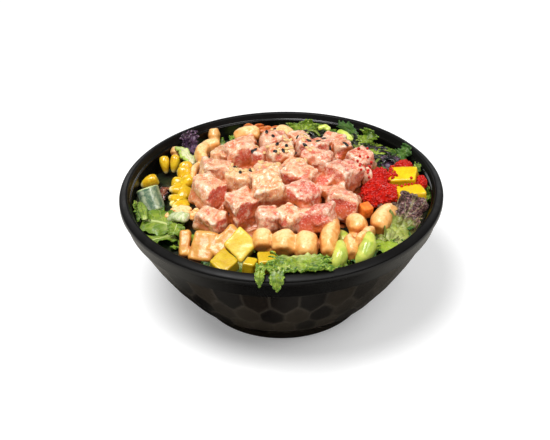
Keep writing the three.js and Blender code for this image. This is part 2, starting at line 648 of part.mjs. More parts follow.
function makeBedLeaf([azimuth, radius, heading, length, width, lift, roll]) {
  const [x, y] = polar(azimuth, radius, 0);
  const shape = { ...bedLeafShape, length, width, lift, roll };
  return leaf([x, y, bedTop(x, y) - 0.4], heading, shape, 0);
}

// cucumber: a thick half slice leaning back, skin side out
const cucumberPlace = { at: [-74.2, -7.3, 69.6], turn: [145, -15, 10] };
const cucumberSize = { radius: 6.5, height: 8, length: 14, sink: 1.2 };

function makeCucumber(grow) {
  const { radius, height, length, sink } = cucumberSize;
  const shape = new THREE.Shape();
  shape.moveTo(-radius - grow, -sink - grow);
  shape.lineTo(radius + grow, -sink - grow);
  shape.absellipse(0, -sink - grow, radius + grow, height + 2 * grow, 0, Math.PI, false, 0);
  const depth = length + 2 * grow;
  const geometry = new THREE.ExtrudeGeometry(shape, { depth, bevelEnabled: false, curveSegments: 7 });
  return turned(geometry.translate(0, 0, -depth / 2), cucumberPlace.at, cucumberPlace.turn);
}

// ---- assembly ---------------------------------------------------------------------------------

// name, colour, roughness and a builder that can draw the piece a little larger, in order of
// right of way: each piece is cut clear of all that come before it
const pieces = [];
const addPiece = (name, color, roughness, build) => pieces.push({ name, color, roughness, build });

mangoCubes.forEach(([name, at, size, turn]) => {
  addPiece(name, 0xf2cf3a, 0.4, (grow) => chunk(at, size, turn, grow, 0.05));
});
addPiece('carrot_cube', 0xf08a24, 0.45, (grow) => chunk([45.4, -34.4, 76.4], [7, 7, 7], [10, 5, 30], grow));
cornKernels.forEach(([name, at, turn]) => {
  addPiece(name, 0xf6d23a, 0.35, (grow) => nugget(at, kernelSize, turn, grow, { square: 0.8 }));
});
edamameBeans.forEach(([name, at, size, turn]) => {
  addPiece(name, 0xa9c23f, 0.35, (grow) => nugget(at, size, turn, grow, { sides: 8, rings: 6, bend: 1.6 }));
});
addPiece('cucumber_piece', 0x3f6b4c, 0.4, makeCucumber);
sauceSlabs.forEach(([name, at, size, turn]) => {
  addPiece(name, 0xf3c48d, 0.35, (grow) => chunk(at, size, turn, grow, slabTaper));
});
sauceStrands.forEach(([name, route, width, height]) => {
  addPiece(name, 0xf3c48d, 0.35, (grow) => makeSauce(route, width, height, grow));
});
addPiece('red_onion_bit', 0xc9474d, 0.4, (grow) => nugget(
  [-48.6, 56, 62.4], [6.5, 5, 4.5], [0, 10, 30], grow));
addPiece('spring_onion_piece', 0xe6ead0, 0.45, (grow) => strand(
  [[-61.5, -27.5, 70.4], [-56.5, -31.5, 73.6], [-51, -35, 74.4]], 8.5, 5, grow));
addPiece('green_bean_piece', 0x3a4a22, 0.4, (grow) => nugget(
  [66.6, -26.6, 71.6], [8.5, 6, 5.5], [0, 8, 12], grow));
addPiece('pepper_strip_1', 0xc9d648, 0.4, (grow) => strand(
  [[24.5, 64, 74.2], [28.5, 64.6, 75.4], [32, 62.6, 74]], 4, 3, grow));
addPiece('pepper_strip_2', 0xc9d648, 0.4, (grow) => strand(
  [[36.6, 59.6, 74.6], [40.4, 55.6, 75], [44.6, 49.6, 73.4]], 4.5, 3, grow));
roeHeaps.forEach(([name, lumps, bumps]) => {
  addPiece(name, 0xd8241b, 0.3, (grow) => makeRoe(lumps, grow, bumps));
});
const leafColors = {
  lettuce_front: 0x6f9a35, lollo_rosso: 0x6d5560, lettuce_left: 0x8fb440, red_leaf: 0x5c2c28,
  purple_leaf: 0x54405a, cabbage_rib: 0xe2e6b8, lettuce_back: 0x8fb03c, lettuce_curly: 0x7ea63a,
  lettuce_side: 0x6f9638, wall_leaf: 0x7c8468, edge_leaf: 0x6f9a45, small_leaf: 0x6f8a35,
};
Object.keys(leaves).forEach((name) => {
  addPiece(name, leafColors[name], 0.5, (grow) => makeLeaves(name, grow));
});
addPiece('tuna_heap', 0xe9a291, 0.35, makeTuna);
addPiece('corn_heap', 0xf3c92f, 0.35, makeCorn);
addPiece('carrot_shreds', 0xe3862c, 0.45, makeCarrot);
addPiece('seaweed_heap', 0x2c3a26, 0.4, makeSeaweed);

const group = new THREE.Group();

function addMesh(name, solid, color, roughness) {
  const material = new THREE.MeshStandardMaterial({ color, roughness, metalness: 0 });
  const mesh = new THREE.Mesh(toGeometry(solid), material);
  mesh.name = name;
  group.add(mesh);
}

const apart = (a, b) => ['0', '1', '2'].some((k) => a.max[k] < b.min[k] || b.max[k] < a.min[k]);

// takes from a solid what lies in the keep-outs near it
function cutClear(whole, keepOuts) {
  const box = whole.boundingBox();
  const near = keepOuts.filter((other) => !apart(box, other.boundingBox()));
  return near.reduce((solid, other) => solid.subtract(other), whole);
}

addMesh('bowl', makeBowl(), 0x151515, 0.2);
const bowlSpace = bowlKeepOut(wallSegments);
const bedSpace = makeBedCore(gap);
const pieceSpaces = [];
pieces.forEach(({ name, color, roughness, build }) => {
  const cut = largest(cutClear(build(0), [bowlSpace, bedSpace, ...pieceSpaces]));
  const finished = name === 'tuna_heap' ? largest(withSeeds(cut)) : cut;
  addMesh(name, finished, color, roughness);
  pieceSpaces.push(build(gap));
});
const bedLeafSolids = bedLeaves.map((entry) => cutClear(makeBedLeaf(entry), [bowlSpace, ...pieceSpaces]));
const bedCore = makeBedCore(0).subtract(bowlKeepOut(bedSegments));
addMesh('salad_bed', largest(join([bedCore, ...bedLeafSolids])), 0x4d6a2c, 0.5);

export default group;
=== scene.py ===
import json
import math
import random

import bmesh
import bpy
from mathutils import Euler, Matrix, Vector, noise
from mathutils.bvhtree import BVHTree


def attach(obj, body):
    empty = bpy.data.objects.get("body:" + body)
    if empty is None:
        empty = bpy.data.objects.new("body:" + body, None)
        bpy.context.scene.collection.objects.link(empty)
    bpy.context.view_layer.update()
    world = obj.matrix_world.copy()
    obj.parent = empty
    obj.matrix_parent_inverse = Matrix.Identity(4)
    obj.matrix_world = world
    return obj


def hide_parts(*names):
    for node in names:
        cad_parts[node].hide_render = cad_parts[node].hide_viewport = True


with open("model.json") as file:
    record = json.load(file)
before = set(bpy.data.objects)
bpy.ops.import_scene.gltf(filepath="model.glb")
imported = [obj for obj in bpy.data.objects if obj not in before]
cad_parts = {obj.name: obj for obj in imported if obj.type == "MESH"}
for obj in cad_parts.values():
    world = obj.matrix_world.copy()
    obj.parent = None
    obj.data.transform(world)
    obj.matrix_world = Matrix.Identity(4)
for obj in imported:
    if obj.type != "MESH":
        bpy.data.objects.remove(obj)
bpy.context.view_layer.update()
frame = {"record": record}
mm = 0.001  # shapes are drawn in millimetres and scaled once, when a piece is finished


# small tools

def smoothStep(low, high, value):
    t = min(max((value - low) / (high - low), 0.0), 1.0)
    return t * t * (3 - 2 * t)


def linearColor(code):
    parts = [int(code[i:i + 2], 16) / 255 for i in (0, 2, 4)]
    return (*[p / 12.92 if p <= 0.04045 else ((p + 0.055) / 1.055) ** 2.4 for p in parts], 1.0)


def wobble(point, size, seed=0.0):
    # smooth noise from -1 to 1 with bumps about this many millimetres apart
    return noise.noise(Vector(point) / size + Vector((seed, 1.7 * seed, -seed)))


def drift(point, size, start=0.0):
    # a smooth push in any direction, for shapes that were cut or spooned by hand
    return Vector([wobble(point, size, start + 31 * k) for k in range(3)])


def placing(at, turn):
    return Matrix.Translation(at) @ Euler([math.radians(a) for a in turn], "XYZ").to_matrix().to_4x4()


def addInto(target, part):
    # joins one bmesh into another, custom layers and all
    carrier = bpy.data.meshes.new("carrier")
    part.to_mesh(carrier)
    part.free()
    target.from_mesh(carrier)
    bpy.data.meshes.remove(carrier)


def placed(bm, matrix):
    bmesh.ops.transform(bm, matrix=matrix, verts=bm.verts)
    return bm


def linked(name, data):
    made = bpy.data.objects.new(name, data)
    bpy.context.scene.collection.objects.link(made)
    return made


def finishPiece(bm, name, slot, material, replaced=(), recalc=True):
    if recalc:
        bmesh.ops.recalc_face_normals(bm, faces=bm.faces)
    placed(bm, Matrix.Scale(mm, 4))
    mesh = bpy.data.meshes.new(name)
    bm.to_mesh(mesh)
    bm.free()
    mesh.polygons.foreach_set("use_smooth", [True] * len(mesh.polygons))
    piece = linked(name, mesh)
    for one in material if isinstance(material, list) else [material]:
        mesh.materials.append(one)
    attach(piece, "root")
    if replaced:
        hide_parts(*replaced)
    return piece


def roughen(bm, lump, lumpSize, ripple=0.0, rippleSize=1.0, start=0.0):
    bm.normal_update()
    pushes = [v.normal * (lump * wobble(v.co, lumpSize, start) + ripple * wobble(v.co, rippleSize, start + 9))
              for v in bm.verts]
    for v, push in zip(bm.verts, pushes):
        v.co += push


def fused(bm, voxel):
    # one skin round overlapping solids: a voxel remesh, in millimetres
    mesh = bpy.data.meshes.new("loose")
    bm.to_mesh(mesh)
    bm.free()
    loose = linked("loose", mesh)
    remesh = loose.modifiers.new("remesh", "REMESH")
    remesh.mode = "VOXEL"
    remesh.voxel_size = voxel
    shaped = loose.evaluated_get(bpy.context.evaluated_depsgraph_get()).to_mesh()
    skin = bmesh.new()
    skin.from_mesh(shaped)
    bpy.data.objects.remove(loose)
    bpy.data.meshes.remove(mesh)
    return skin


def neighbours(bm):
    bm.verts.index_update()
    return [[e.other_vert(v).index for e in v.link_edges] for v in bm.verts]


def evened(bm, values, rounds):
    # each vertex takes the mean of itself and its neighbours
    links = neighbours(bm)
    for _ in range(rounds):
        values = [(values[i] + sum(values[k] for k in near)) / (1 + len(near)) for i, near in enumerate(links)]
    return values


def onBall(height, turn):
    # the direction to a height on a ball of radius 1, turned this far round it
    ring = math.sqrt(max(0.0, 1 - height * height))
    return Vector((ring * math.cos(turn), ring * math.sin(turn), height))


def shelter(bm, reach, others=()):
    # how closed in each vertex is: 0 in the open, 1 deep in a gap; the materials paint shade by it
    fan = [onBall(0.2 * k - 0.9, 2.4 * k) * 0.97 for k in range(10)]
    bm.normal_update()
    trees = [BVHTree.FromBMesh(bm), *others]
    closed = []
    for v in bm.verts:
        start = v.co + v.normal * 0.25
        level = 0.0
        for direction in fan:
            aim = (v.normal + direction).normalized()
            found = [d for d in (tree.ray_cast(start, aim, reach)[3] for tree in trees) if d is not None]
            if found:
                level += 1 - min(found) / reach
        closed.append(level / len(fan))
    return evened(bm, closed, 2)


def smoothed(bm, rounds=1):
    for _ in range(rounds):
        bmesh.ops.smooth_vert(bm, verts=bm.verts, factor=0.5, use_axis_x=True, use_axis_y=True, use_axis_z=True)


def setLayer(bm, name, values):
    layer = bm.verts.layers.float.new(name)
    for v, value in zip(bm.verts, values):
        v[layer] = value


def fromAxis(place):
    return math.hypot(place.x, place.y)


def widen(v, share):
    v.co.x *= share
    v.co.y *= share


def cube():
    bm = bmesh.new()
    bmesh.ops.create_cube(bm, size=1)
    return bm


def ball(sides, rings):
    bm = bmesh.new()
    bmesh.ops.create_uvsphere(bm, u_segments=sides, v_segments=rings, radius=1)
    return bm


def evenBall(fineness):
    # of triangles alike in size
    bm = bmesh.new()
    bmesh.ops.create_icosphere(bm, subdivisions=fineness, radius=1)
    return bm


def spun(section, segments):
    # a section of (radius, height) turned once round the upright axis
    bm = bmesh.new()
    line = [bm.verts.new((r, 0, z)) for r, z in section]
    for a, b in zip(line, line[1:]):
        bm.edges.new((a, b))
    bmesh.ops.spin(bm, geom=bm.verts[:] + bm.edges[:], cent=(0, 0, 0), axis=(0, 0, 1), angle=2 * math.pi,
                   steps=segments, use_merge=True)
    bmesh.ops.remove_doubles(bm, verts=bm.verts, dist=1e-4)
    return bm


def bevelled(bm, edges, width):
    bmesh.ops.bevel(bm, geom=edges, offset=width, segments=3, profile=0.5, affect="EDGES", material=-1)
    return bm


def roundBlock(at, size, turn, edge, taper=0.0):
    # a cut block with soft edges, a little wider at its foot
    bm = cube()
    for v in bm.verts:
        widen(v, 1 - 2 * taper * v.co.z + 0.04 * (1 if v.co.x * v.co.y > 0 else -1))
    bmesh.ops.scale(bm, vec=size, verts=bm.verts)
    return placed(bevelled(bm, bm.edges[:], edge), placing(at, turn))


def nugget(at, size, turn, sides=28, rings=18, bend=0.0):
    # a smooth ball drawn out to a bean or a bit
    bm = ball(sides, rings)
    for v in bm.verts:
        x, y, z = v.co
        v.co = Vector((x * size[0] / 2, y * size[1] / 2 + bend * (x * x - 0.5), z * size[2] / 2))
    return placed(bm, placing(at, turn))


def finishNode(bm, node, slot, material, recalc=True):
    # a piece that stands for one node has the node's name in camelCase
    first, *rest = node.split("_")
    return finishPiece(bm, first + "".join(word.capitalize() for word in rest), slot, material, [node], recalc)


# routes are smooth curves through a few points

def routePoint(route, t):
    points = [Vector(p) for p in route]
    spans = len(points) - 1
    k = min(int(t * spans), spans - 1)
    u = t * spans - k
    a, b = points[k], points[k + 1]
    before = points[k - 1] if k > 0 else 2 * a - b
    after = points[k + 2] if k + 2 <= spans else 2 * b - a
    return 0.5 * (2 * a + (b - before) * u + (2 * before - 5 * a + 4 * b - after) * u ** 2
                  + (3 * a - before - 3 * b + after) * u ** 3)


def routeTangent(route, t):
    low, high = max(t - 0.01, 0.0), min(t + 0.01, 1.0)
    return (routePoint(route, high) - routePoint(route, low)).normalized()


def strand(route, width, height, sides=16, rings=20, blunt=0.45, twist=0.0, waver=0.0, ridges=0.0, seed=0.0):
    # a thick strand along a route: a ball drawn out along it, with blunt ends
    bm = ball(sides, rings)
    for v in bm.verts:
        along = min(max((1 - v.co.z) / 2, 0.0), 1.0)
        flat = Vector((v.co.x, v.co.y))
        around = flat.length
        if around > 1e-6:
            flat *= around ** blunt / around
        if twist:
            flat.rotate(Matrix.Rotation(math.radians(twist) * along, 2))
        tangent = routeTangent(route, along)
        side = tangent.cross((0, 0, 1))
        side = side.normalized() if side.length > 0.05 else Vector((1, 0, 0))
        rise = side.cross(tangent).normalized()
        grown = 1 + waver * noise.noise(Vector((4 * along + seed, seed, 0)))
        grown += ridges * math.cos(5 * math.atan2(flat.y, flat.x) + seed)
        v.co = (routePoint(route, along) + side * flat.x * width / 2 * grown
                + rise * flat.y * height / 2 * grown)
    return bm


# materials

def feed(tree, socket, value):
    if isinstance(value, bpy.types.NodeSocket):
        tree.links.new(value, socket)
    else:
        socket.default_value = linearColor(value) if isinstance(value, str) else value


def addNode(tree, kind, inputs=None, **settings):
    node = tree.nodes.new("ShaderNode" + kind)
    for name, value in settings.items():
        setattr(node, name, value)
    for name, value in (inputs or {}).items():
        feed(tree, node.inputs[name], value)
    return node


def blendColors(tree, factor, first, second):
    return addNode(tree, "Mix", {0: factor, 6: first, 7: second}, data_type="RGBA").outputs[2]


def maths(tree, operation, first, second=0.0):
    return addNode(tree, "Math", {0: first, 1: second}, operation=operation).outputs[0]


def swing(tree, value, amount):
    # a value from 0 to 1 made to swing about 0
    return maths(tree, "MULTIPLY", maths(tree, "SUBTRACT", value, 0.5), amount)


def spread(tree, value, low, high, start=0.0, end=1.0):
    node = addNode(tree, "MapRange", {"Value": value, "From Min": low, "From Max": high,
                                      "To Min": start, "To Max": end}, interpolation_type="SMOOTHSTEP")
    return node.outputs["Result"]


def layered(tree, color, *layers):
    # further colours over the first: each has its factor, or a value with the low and high ends of its
    # rise, then its largest share if that isn't 1, and the colour last
    for factor, *limits, over in layers:
        if limits:
            low, high, *share = limits
            factor = spread(tree, factor, low, high, 0.0, *share)
        color = blendColors(tree, factor, color, over)
    return color


def makeMottleGroup():
    # soft patches, fine grain and specks over any food, from object coordinates
    group = bpy.data.node_groups.new("mottle", "ShaderNodeTree")
    for key, kind in (("Patch size", "Float"), ("Grain size", "Float"), ("Stretch", "Vector")):
        group.interface.new_socket(name=key, in_out="INPUT", socket_type="NodeSocket" + kind)
    for key in ("Patch", "Grain", "Speck"):
        group.interface.new_socket(name=key, in_out="OUTPUT", socket_type="NodeSocketFloat")
    start, end = group.nodes.new("NodeGroupInput"), group.nodes.new("NodeGroupOutput")
    place = addNode(group, "VectorMath", {0: addNode(group, "TexCoord").outputs["Object"],
                                          1: start.outputs["Stretch"]}, operation="MULTIPLY").outputs[0]
    patchScale = maths(group, "DIVIDE", 1 / mm, start.outputs["Patch size"])
    grainScale = maths(group, "DIVIDE", 1 / mm, start.outputs["Grain size"])
    patch = addNode(group, "TexNoise", {"Vector": place, "Scale": patchScale, "Detail": 3.0, "Roughness": 0.55,
                                        "Distortion": 0.8})
    grain = addNode(group, "TexNoise", {"Vector": place, "Scale": grainScale, "Detail": 2.0})
    cells = addNode(group, "TexVoronoi", {"Vector": place, "Scale": grainScale})
    for key, value in (("Patch", patch.outputs["Fac"]), ("Grain", grain.outputs["Fac"]),
                       ("Speck", spread(group, cells.outputs["Distance"], 0.28, 0.12))):
        group.links.new(value, end.inputs[key])
    return group


mottleGroup = makeMottleGroup()


def newMaterial(name, roughness=0.4, coat=0.0, coatRoughness=0.1, subsurface=0.0, radius=(3, 1.5, 1),
                specular=0.5):
    material = bpy.data.materials.new(name)
    material.use_nodes = True
    tree = material.node_tree
    shader = tree.nodes["Principled BSDF"]
    look = {"Roughness": roughness, "Coat Weight": coat, "Coat Roughness": coatRoughness,
            "Subsurface Weight": subsurface, "Subsurface Radius": radius, "Subsurface Scale": mm,
            "Specular IOR Level": specular, "IOR": 1.45}
    for key, value in look.items():
        feed(tree, shader.inputs[key], value)
    return material, tree, shader


def addMottle(tree, patch, grain, stretch=(1, 1, 1)):
    # sizes in millimetres
    node = addNode(tree, "Group", {"Patch size": patch, "Grain size": grain, "Stretch": stretch},
                   node_tree=mottleGroup)
    return [node.outputs[key] for key in ("Patch", "Grain", "Speck")]


def addBump(tree, shader, height, depth, strength):
    bump = addNode(tree, "Bump", {"Height": height, "Distance": depth * mm, "Strength": strength})
    tree.links.new(bump.outputs["Normal"], shader.inputs["Normal"])


def attribute(tree, name):
    return addNode(tree, "Attribute", attribute_name=name, attribute_type="GEOMETRY").outputs["Fac"]


def paint(tree, shader, color, roughness=None):
    tree.links.new(color, shader.inputs["Base Color"])
    if roughness is not None:
        tree.links.new(roughness, shader.inputs["Roughness"])


def plainFood(name, mottle, rise, low, high, bump=None, **look):
    # one colour that runs into another in soft patches
    material, tree, shader = newMaterial(name, **look)
    patch, grain, _ = addMottle(tree, *mottle)
    paint(tree, shader, blendColors(tree, spread(tree, patch, *rise) if rise else patch, low, high))
    if bump:
        addBump(tree, shader, grain, *bump)
    return material


# bowl: one spin of its section, then the hammered faces are pressed into the outside of the wall

bowl = {
    "rim": 92.5, "height": 74.0, "foot": 50.0, "footHeight": 6.0, "step": 60.4, "band": 89.3,
    "lipInner": 87.5, "seat": 85.7, "seatHeight": 70.0, "wall": 1.7, "floor": 2.7,
    "facets": 36, "rows": (52.5, 37.5, 23.5, 11.0), "softness": 0.05, "segments": 450, "rings": 84,
}


def wallRadius(z):
    return 36.2 + 6.0 * math.sqrt(z) + 0.096 * z


def wallLean(z):
    return math.atan(3.0 / math.sqrt(z) + 0.096)


def bowlSection():
    # (radius, height) from the middle of the underside outward, up the wall, over the lip and down inside
    foot, band, rim, lip, seat = [bowl[key] for key in ("foot", "band", "rim", "lipInner", "seat")]
    footTop, step, ledge, top, floor = [bowl[key] for key in ("footHeight", "step", "seatHeight", "height", "floor")]
    low, high = footTop + 0.3, step - 0.3
    climb = [low + (high - low) * k / bowl["rings"] for k in range(bowl["rings"] + 1)]
    descent = [ledge - 1 - 2.6 * k for k in range(25)]
    return [
        (0, 0), (foot - 1.4, 0), (foot - 0.5, 0.25), (foot, 0.9), (foot + 0.7, footTop - 0.5), (foot + 0.9, footTop),
        *[(wallRadius(z), z) for z in climb],
        (band - 0.15, step - 0.1), (band + 0.1, step + 0.25), (band + 0.2, step + 0.9), (band + 0.9, top - 5.6),
        (band + 1.1, top - 5.2), (rim - 0.7, top - 5.1), (rim - 0.2, top - 4.9), (rim, top - 4.4),
        (rim, top - 2.6), (rim - 0.25, top - 1.8), (rim - 0.9, top - 1.2), (lip + 1.5, top - 0.05),
        (lip + 0.8, top), (lip + 0.25, top - 0.2), (lip, top - 0.7), (seat + 1.2, ledge + 0.7),
        (seat + 0.9, ledge + 0.15), (seat + 0.3, ledge), (seat, ledge - 0.3),
        *[(min(seat, wallRadius(z) - bowl["wall"]), z) for z in descent],
        (wallRadius(floor) - bowl["wall"] - 1.5, floor + 0.4), (40, floor), (0, floor)]


def hammered(azimuth, z):
    # distance out to the nearest of the flat faces, with a soft join between them, which face it is, and
    # how much nearer it is than the next one
    step = 2 * math.pi / bowl["facets"]
    reach, faces = [], []
    for row, middle in enumerate(bowl["rows"]):
        lean = wallLean(middle)
        turn = step * (row % 2) / 2
        off = (azimuth - turn + step / 2) % step - step / 2
        plane = wallRadius(middle) * math.cos(step / 4) * math.cos(lean) - middle * math.sin(lean)
        column = round((azimuth - turn - off) / step)
        for side in (-1, 0, 1):
            reach.append((plane + z * math.sin(lean)) / (math.cos(lean) * math.cos(off + side * step)))
            faces.append((row, (column - side) % bowl["facets"]))
    nearest, following = sorted(reach)[:2]
    soft = bowl["softness"]
    smooth = nearest - soft * math.log(sum(math.exp((nearest - r) / soft) for r in reach))
    return smooth, faces[reach.index(nearest)], following - nearest


def makeBowl():
    bm = spun(bowlSection(), bowl["segments"])
    paintedFacetSheens, paintedEdgeHighlights = [], []
    for v in bm.verts:
        around = fromAxis(v.co)
        paintedFacetSheens.append(0.5)
        paintedEdgeHighlights.append(0.0)
        if bowl["footHeight"] + 0.2 < v.co.z < bowl["step"] - 0.2 and around > wallRadius(v.co.z) - 0.5:
            out, (row, column), margin = hammered(math.atan2(v.co.y, v.co.x), v.co.z)
            widen(v, out / around)
            # painted sheen: each facet gets a random lightness, and each lower row a lighter painted reflection of
            # the floor
            paintedFacetSheens[-1] = 0.5 + 1.2 * noise.noise(Vector((3.7 * column, 5.3 * row, 0.5))) + 0.1 * row
            # a thin painted highlight along the edges between the facets
            paintedEdgeHighlights[-1] = smoothStep(0.16, 0.03, margin)
    setLayer(bm, "tone", paintedFacetSheens)
    setLayer(bm, "seam", paintedEdgeHighlights)
    setLayer(bm, "band", [smoothStep(bowl["step"] - 0.6, bowl["step"] + 0.6, v.co.z) for v in bm.verts])
    for face in bm.faces:
        middle = face.calc_center_median()
        onTop = middle.z > bowl["height"] - 2.4 and fromAxis(middle) < bowl["rim"] - 0.3
        face.material_index = 1 if onTop else 0
    finishPiece(bm, "bowlShell", "bowl_black", [bowlPlastic(), lipPlastic()], ["bowl"])


def bowlPlastic():
    material, tree, shader = newMaterial("bowlBlack", roughness=0.2, coat=0.08, coatRoughness=0.12, specular=0.4)
    patch, grain, _ = addMottle(tree, 14, 0.5)
    tone, seam, band = [attribute(tree, key) for key in ("tone", "seam", "band")]
    # the facets run from black to brown by their tone: painted sheen and painted reflection
    wall = blendColors(tree, spread(tree, tone, 0.1, 1.0), "080605", "272119")
    # the lighter lines along the facet edges are a painted highlight
    color = layered(tree, wall, (maths(tree, "MULTIPLY", seam, 0.45), "423c33"), (band, "0c0b09"))
    paint(tree, shader, color, maths(tree, "ADD", spread(tree, patch, 0.3, 0.75, 0.1, 0.16),
                                     maths(tree, "MULTIPLY", band, 0.12)))
    addBump(tree, shader, grain, 0.02, 0.2)
    return material


def lipPlastic():
    # the top of the lip is matt
    material, tree, shader = newMaterial("bowlLip", roughness=0.5, specular=0.22)
    patch, grain, _ = addMottle(tree, 10, 0.5)
    paint(tree, shader, blendColors(tree, patch, "0b0a0a", "121110"), spread(tree, patch, 0.3, 0.7, 0.4, 0.5))
    addBump(tree, shader, grain, 0.02, 0.5)
    return material


def insideRadius(z):
    if z > bowl["seatHeight"]:
        return bowl["seat"] + (bowl["lipInner"] - bowl["seat"]) * min(1, (z - bowl["seatHeight"]) / 3.0)
    return min(bowl["seat"], wallRadius(max(z, 0.5)) - bowl["wall"])


def keepInBowl(bm):
    # nothing leans further out than the inside of the wall
    for v in bm.verts:
        limit = insideRadius(v.co.z) - 0.35
        around = fromAxis(v.co)
        if around > limit and v.co.z < bowl["height"]:
            widen(v, limit / around)


def keepClear(bm):
    # the free spaces of the record stay free: what pokes into one is pressed down under it
    for opening in frame["record"]["physics"]["openings"]:
        low, high = [Vector(corner) / mm for corner in opening["box_m"]]
        for v in bm.verts:
            if low.x < v.co.x < high.x and low.y < v.co.y < high.y and low.z - 0.3 < v.co.z:
                v.co.z = low.z - 0.3


makeBowl()
print("bowl done")


# tuna: soft cubes in a creamy coat, run together where they touch

tuna = {
    "voxel": 0.7, "edge": 2.0, "skew": 2.5, "warp": 1.5, "fill": 0.6, "blob": 0.95, "string": 0.3,
    "bareSide": 0.18, "mound": ((2, -6, 66), (48, 43, 11)),
}

# place, size, turn, faces with bare flesh as (direction in degrees, amount), bareness of the top,
# tint of the coat from cream to pink
tunaCubes = [
    ((-41.2, -15, 79), (16, 18, 16), (4, 6, 42), ((-45, 1.0),), 0.12, 0.35),
    ((-36.5, 10, 77), (18, 14, 12), (0, 8, 10), ((0, 0.9),), 0.15, 0.4),
    ((-23, 25, 81), (18, 15, 15), (8, -6, 24), ((-70, 0.75),), 0.3, 0.45),
    ((-10.6, 19.5, 79.5), (10, 10, 11), (0, 8, 50), ((-90, 0.95),), 0.2, 0.9),
    ((0.8, 14.5, 83), (16, 14, 14), (4, -3, 4), ((-90, 0.55),), 0.2, 0.3),
    ((-3.3, 37, 79.5), (16, 13, 12), (-4, 6, 8), ((-90, 0.5),), 0.4, 0.6),
    ((20.5, 31, 80), (21, 11, 11), (3, 3, -6), ((-90, 0.8),), 0.35, 0.7),
    ((20.5, 12.5, 80.5), (19, 14, 13), (4, 8, -22), ((190, 0.95),), 0.45, 0.7),
    ((37.4, 28, 78), (11, 12, 12), (0, 0, 10), ((-120, 0.8),), 0.25, 0.5),
    ((47.5, 16.5, 77), (14, 15, 13), (4, -8, 35), ((-60, 0.6), (210, 0.6)), 0.5, 0.8),
    ((34.8, -7, 82.5), (19, 17, 15), (6, 8, 44), ((225, 0.5),), 0.5, 0.75),
    ((48.6, 1.5, 75.5), (8, 10, 9), (0, 10, 20), ((-90, 0.5),), 0.3, 0.5),
    ((33.6, -30.5, 78.5), (18, 14, 13), (-12, 12, -18), ((-95, 1.0),), 0.25, 0.5),
    ((10, -10.5, 84), (17, 15, 12), (6, 10, -30), ((-100, 0.95),), 0.35, 0.4),
    ((22.8, -13, 78), (10, 13, 12), (0, 0, -25), ((-90, 1.0), (0, 1.0), (180, 1.0)), 0.9, 0.8),
    ((11.2, -29.5, 83), (18, 17, 13), (8, 6, 46), ((225, 0.85), (-45, 0.6)), 0.55, 0.9),
    ((-7.5, -26.5, 86), (16.5, 17, 18), (14, -4, 12), ((-60, 0.3),), 0.2, 0.05),
    ((-22, -34.5, 79.5), (15, 15, 17), (10, 0, 30), ((-60, 0.85),), 0.35, 0.55),
    ((-38.2, -40, 76), (15.5, 12, 12), (6, 10, -32), ((-30, 0.7),), 0.3, 0.45),
    ((-7.5, -46.5, 79.5), (13, 12, 13), (0, 4, 6), ((-90, 0.5),), 0.45, 0.65),
    ((4.6, -46.5, 79.5), (13, 15, 15), (12, -8, 40), ((-50, 0.45), (220, 0.7)), 0.4, 0.3),
    ((18, -47.5, 80), (19, 15, 13), (-10, -14, -12), ((-95, 1.0),), 0.6, 0.95),
    ((-23, -8.5, 81), (16, 14, 12), (4, 4, -16), ((-90, 0.2),), 0.05, 0),
    ((-34, 28, 75.5), (13, 12, 11), (0, 6, 60), ((0, 0.4),), 0.2, 0.1),
    ((12, 45, 76), (14, 12, 11), (6, 0, 30), ((100, 0.6),), 0.4, 0.5),
    ((33, 43, 74.5), (14, 12, 11), (8, 6, -20), ((70, 0.6),), 0.4, 0.6),
    ((-19, 43, 75), (13, 12, 11), (0, -8, 14), ((90, 0.6),), 0.3, 0.5),
    ((-5.5, -6.5, 82), (17, 15, 13), (-4, 6, 20), ((-90, 0.5),), 0.3, 0.3),
    ((8.5, 1.5, 80.5), (13, 13, 13), (4, -4, 60), ((-60, 0.7),), 0.3, 0.3),
    ((29, -23, 78), (12, 12, 12), (6, 0, 24), ((-90, 0.8),), 0.5, 0.6),
]


def moundShape(at, halves):
    bm = ball(32, 16)
    for v in bm.verts:
        v.co = Vector((v.co.x * halves[0], v.co.y * halves[1], max(v.co.z, -0.15) * halves[2])) + Vector(at)
    return bm


def bareness(at, size, turn, bare, top, tint):
    # the way from the world into a cube, its half size, how bare each of its six faces is, and its tint
    stand = placing(at, turn)
    spin = stand.to_3x3()
    faces = {}
    for axis in range(3):
        for sign in (-1, 1):
            normal = Vector([sign if k == axis else 0 for k in range(3)])
            faces[(axis, sign)] = (spin @ normal, top if (axis, sign) == (2, 1) else tuna["bareSide"])
    for direction, amount in bare:
        wanted = Vector((math.cos(math.radians(direction)), math.sin(math.radians(direction)), 0.15))
        best = max(faces, key=lambda key: faces[key][0].dot(wanted) if key != (2, 1) else -1)
        faces[best] = (faces[best][0], amount)
    return stand.inverted(), Vector(size) / 2, list(faces.values()), tint


def ironed(bm, rounds):
    # where each vertex would go if the skin were ironed flat
    places = [v.co.copy() for v in bm.verts]
    links = neighbours(bm)
    for _ in range(rounds):
        places = [sum((places[k] for k in near), Vector()) / len(near) if near else places[i]
                  for i, near in enumerate(links)]
    return places


def unevenBlock(at, size, turn):
    # a block cut by hand: no two of its corners are alike
    bm = cube()
    for v in bm.verts:
        narrow = 1 - 0.14 * v.co.z
        v.co = Vector((v.co.x * narrow * size[0], v.co.y * narrow * size[1], v.co.z * size[2]))
        v.co += tuna["skew"] * drift(v.co + Vector(at), 7.0, 5)
    return placed(bevelled(bm, bm.edges[:], tuna["edge"]), placing(at, turn))


def coatOver(place):
    # how thick the coat lies: blobs, and strings where it ran together
    moved = place + 1.4 * drift(place, 4.2, 3)
    blobs = 0.65 * wobble(moved, 3.2) + 0.35 * wobble(moved, 1.5, 5)
    return blobs, max(0.0, 1 - 7 * abs(wobble(moved, 3.0, 9)))


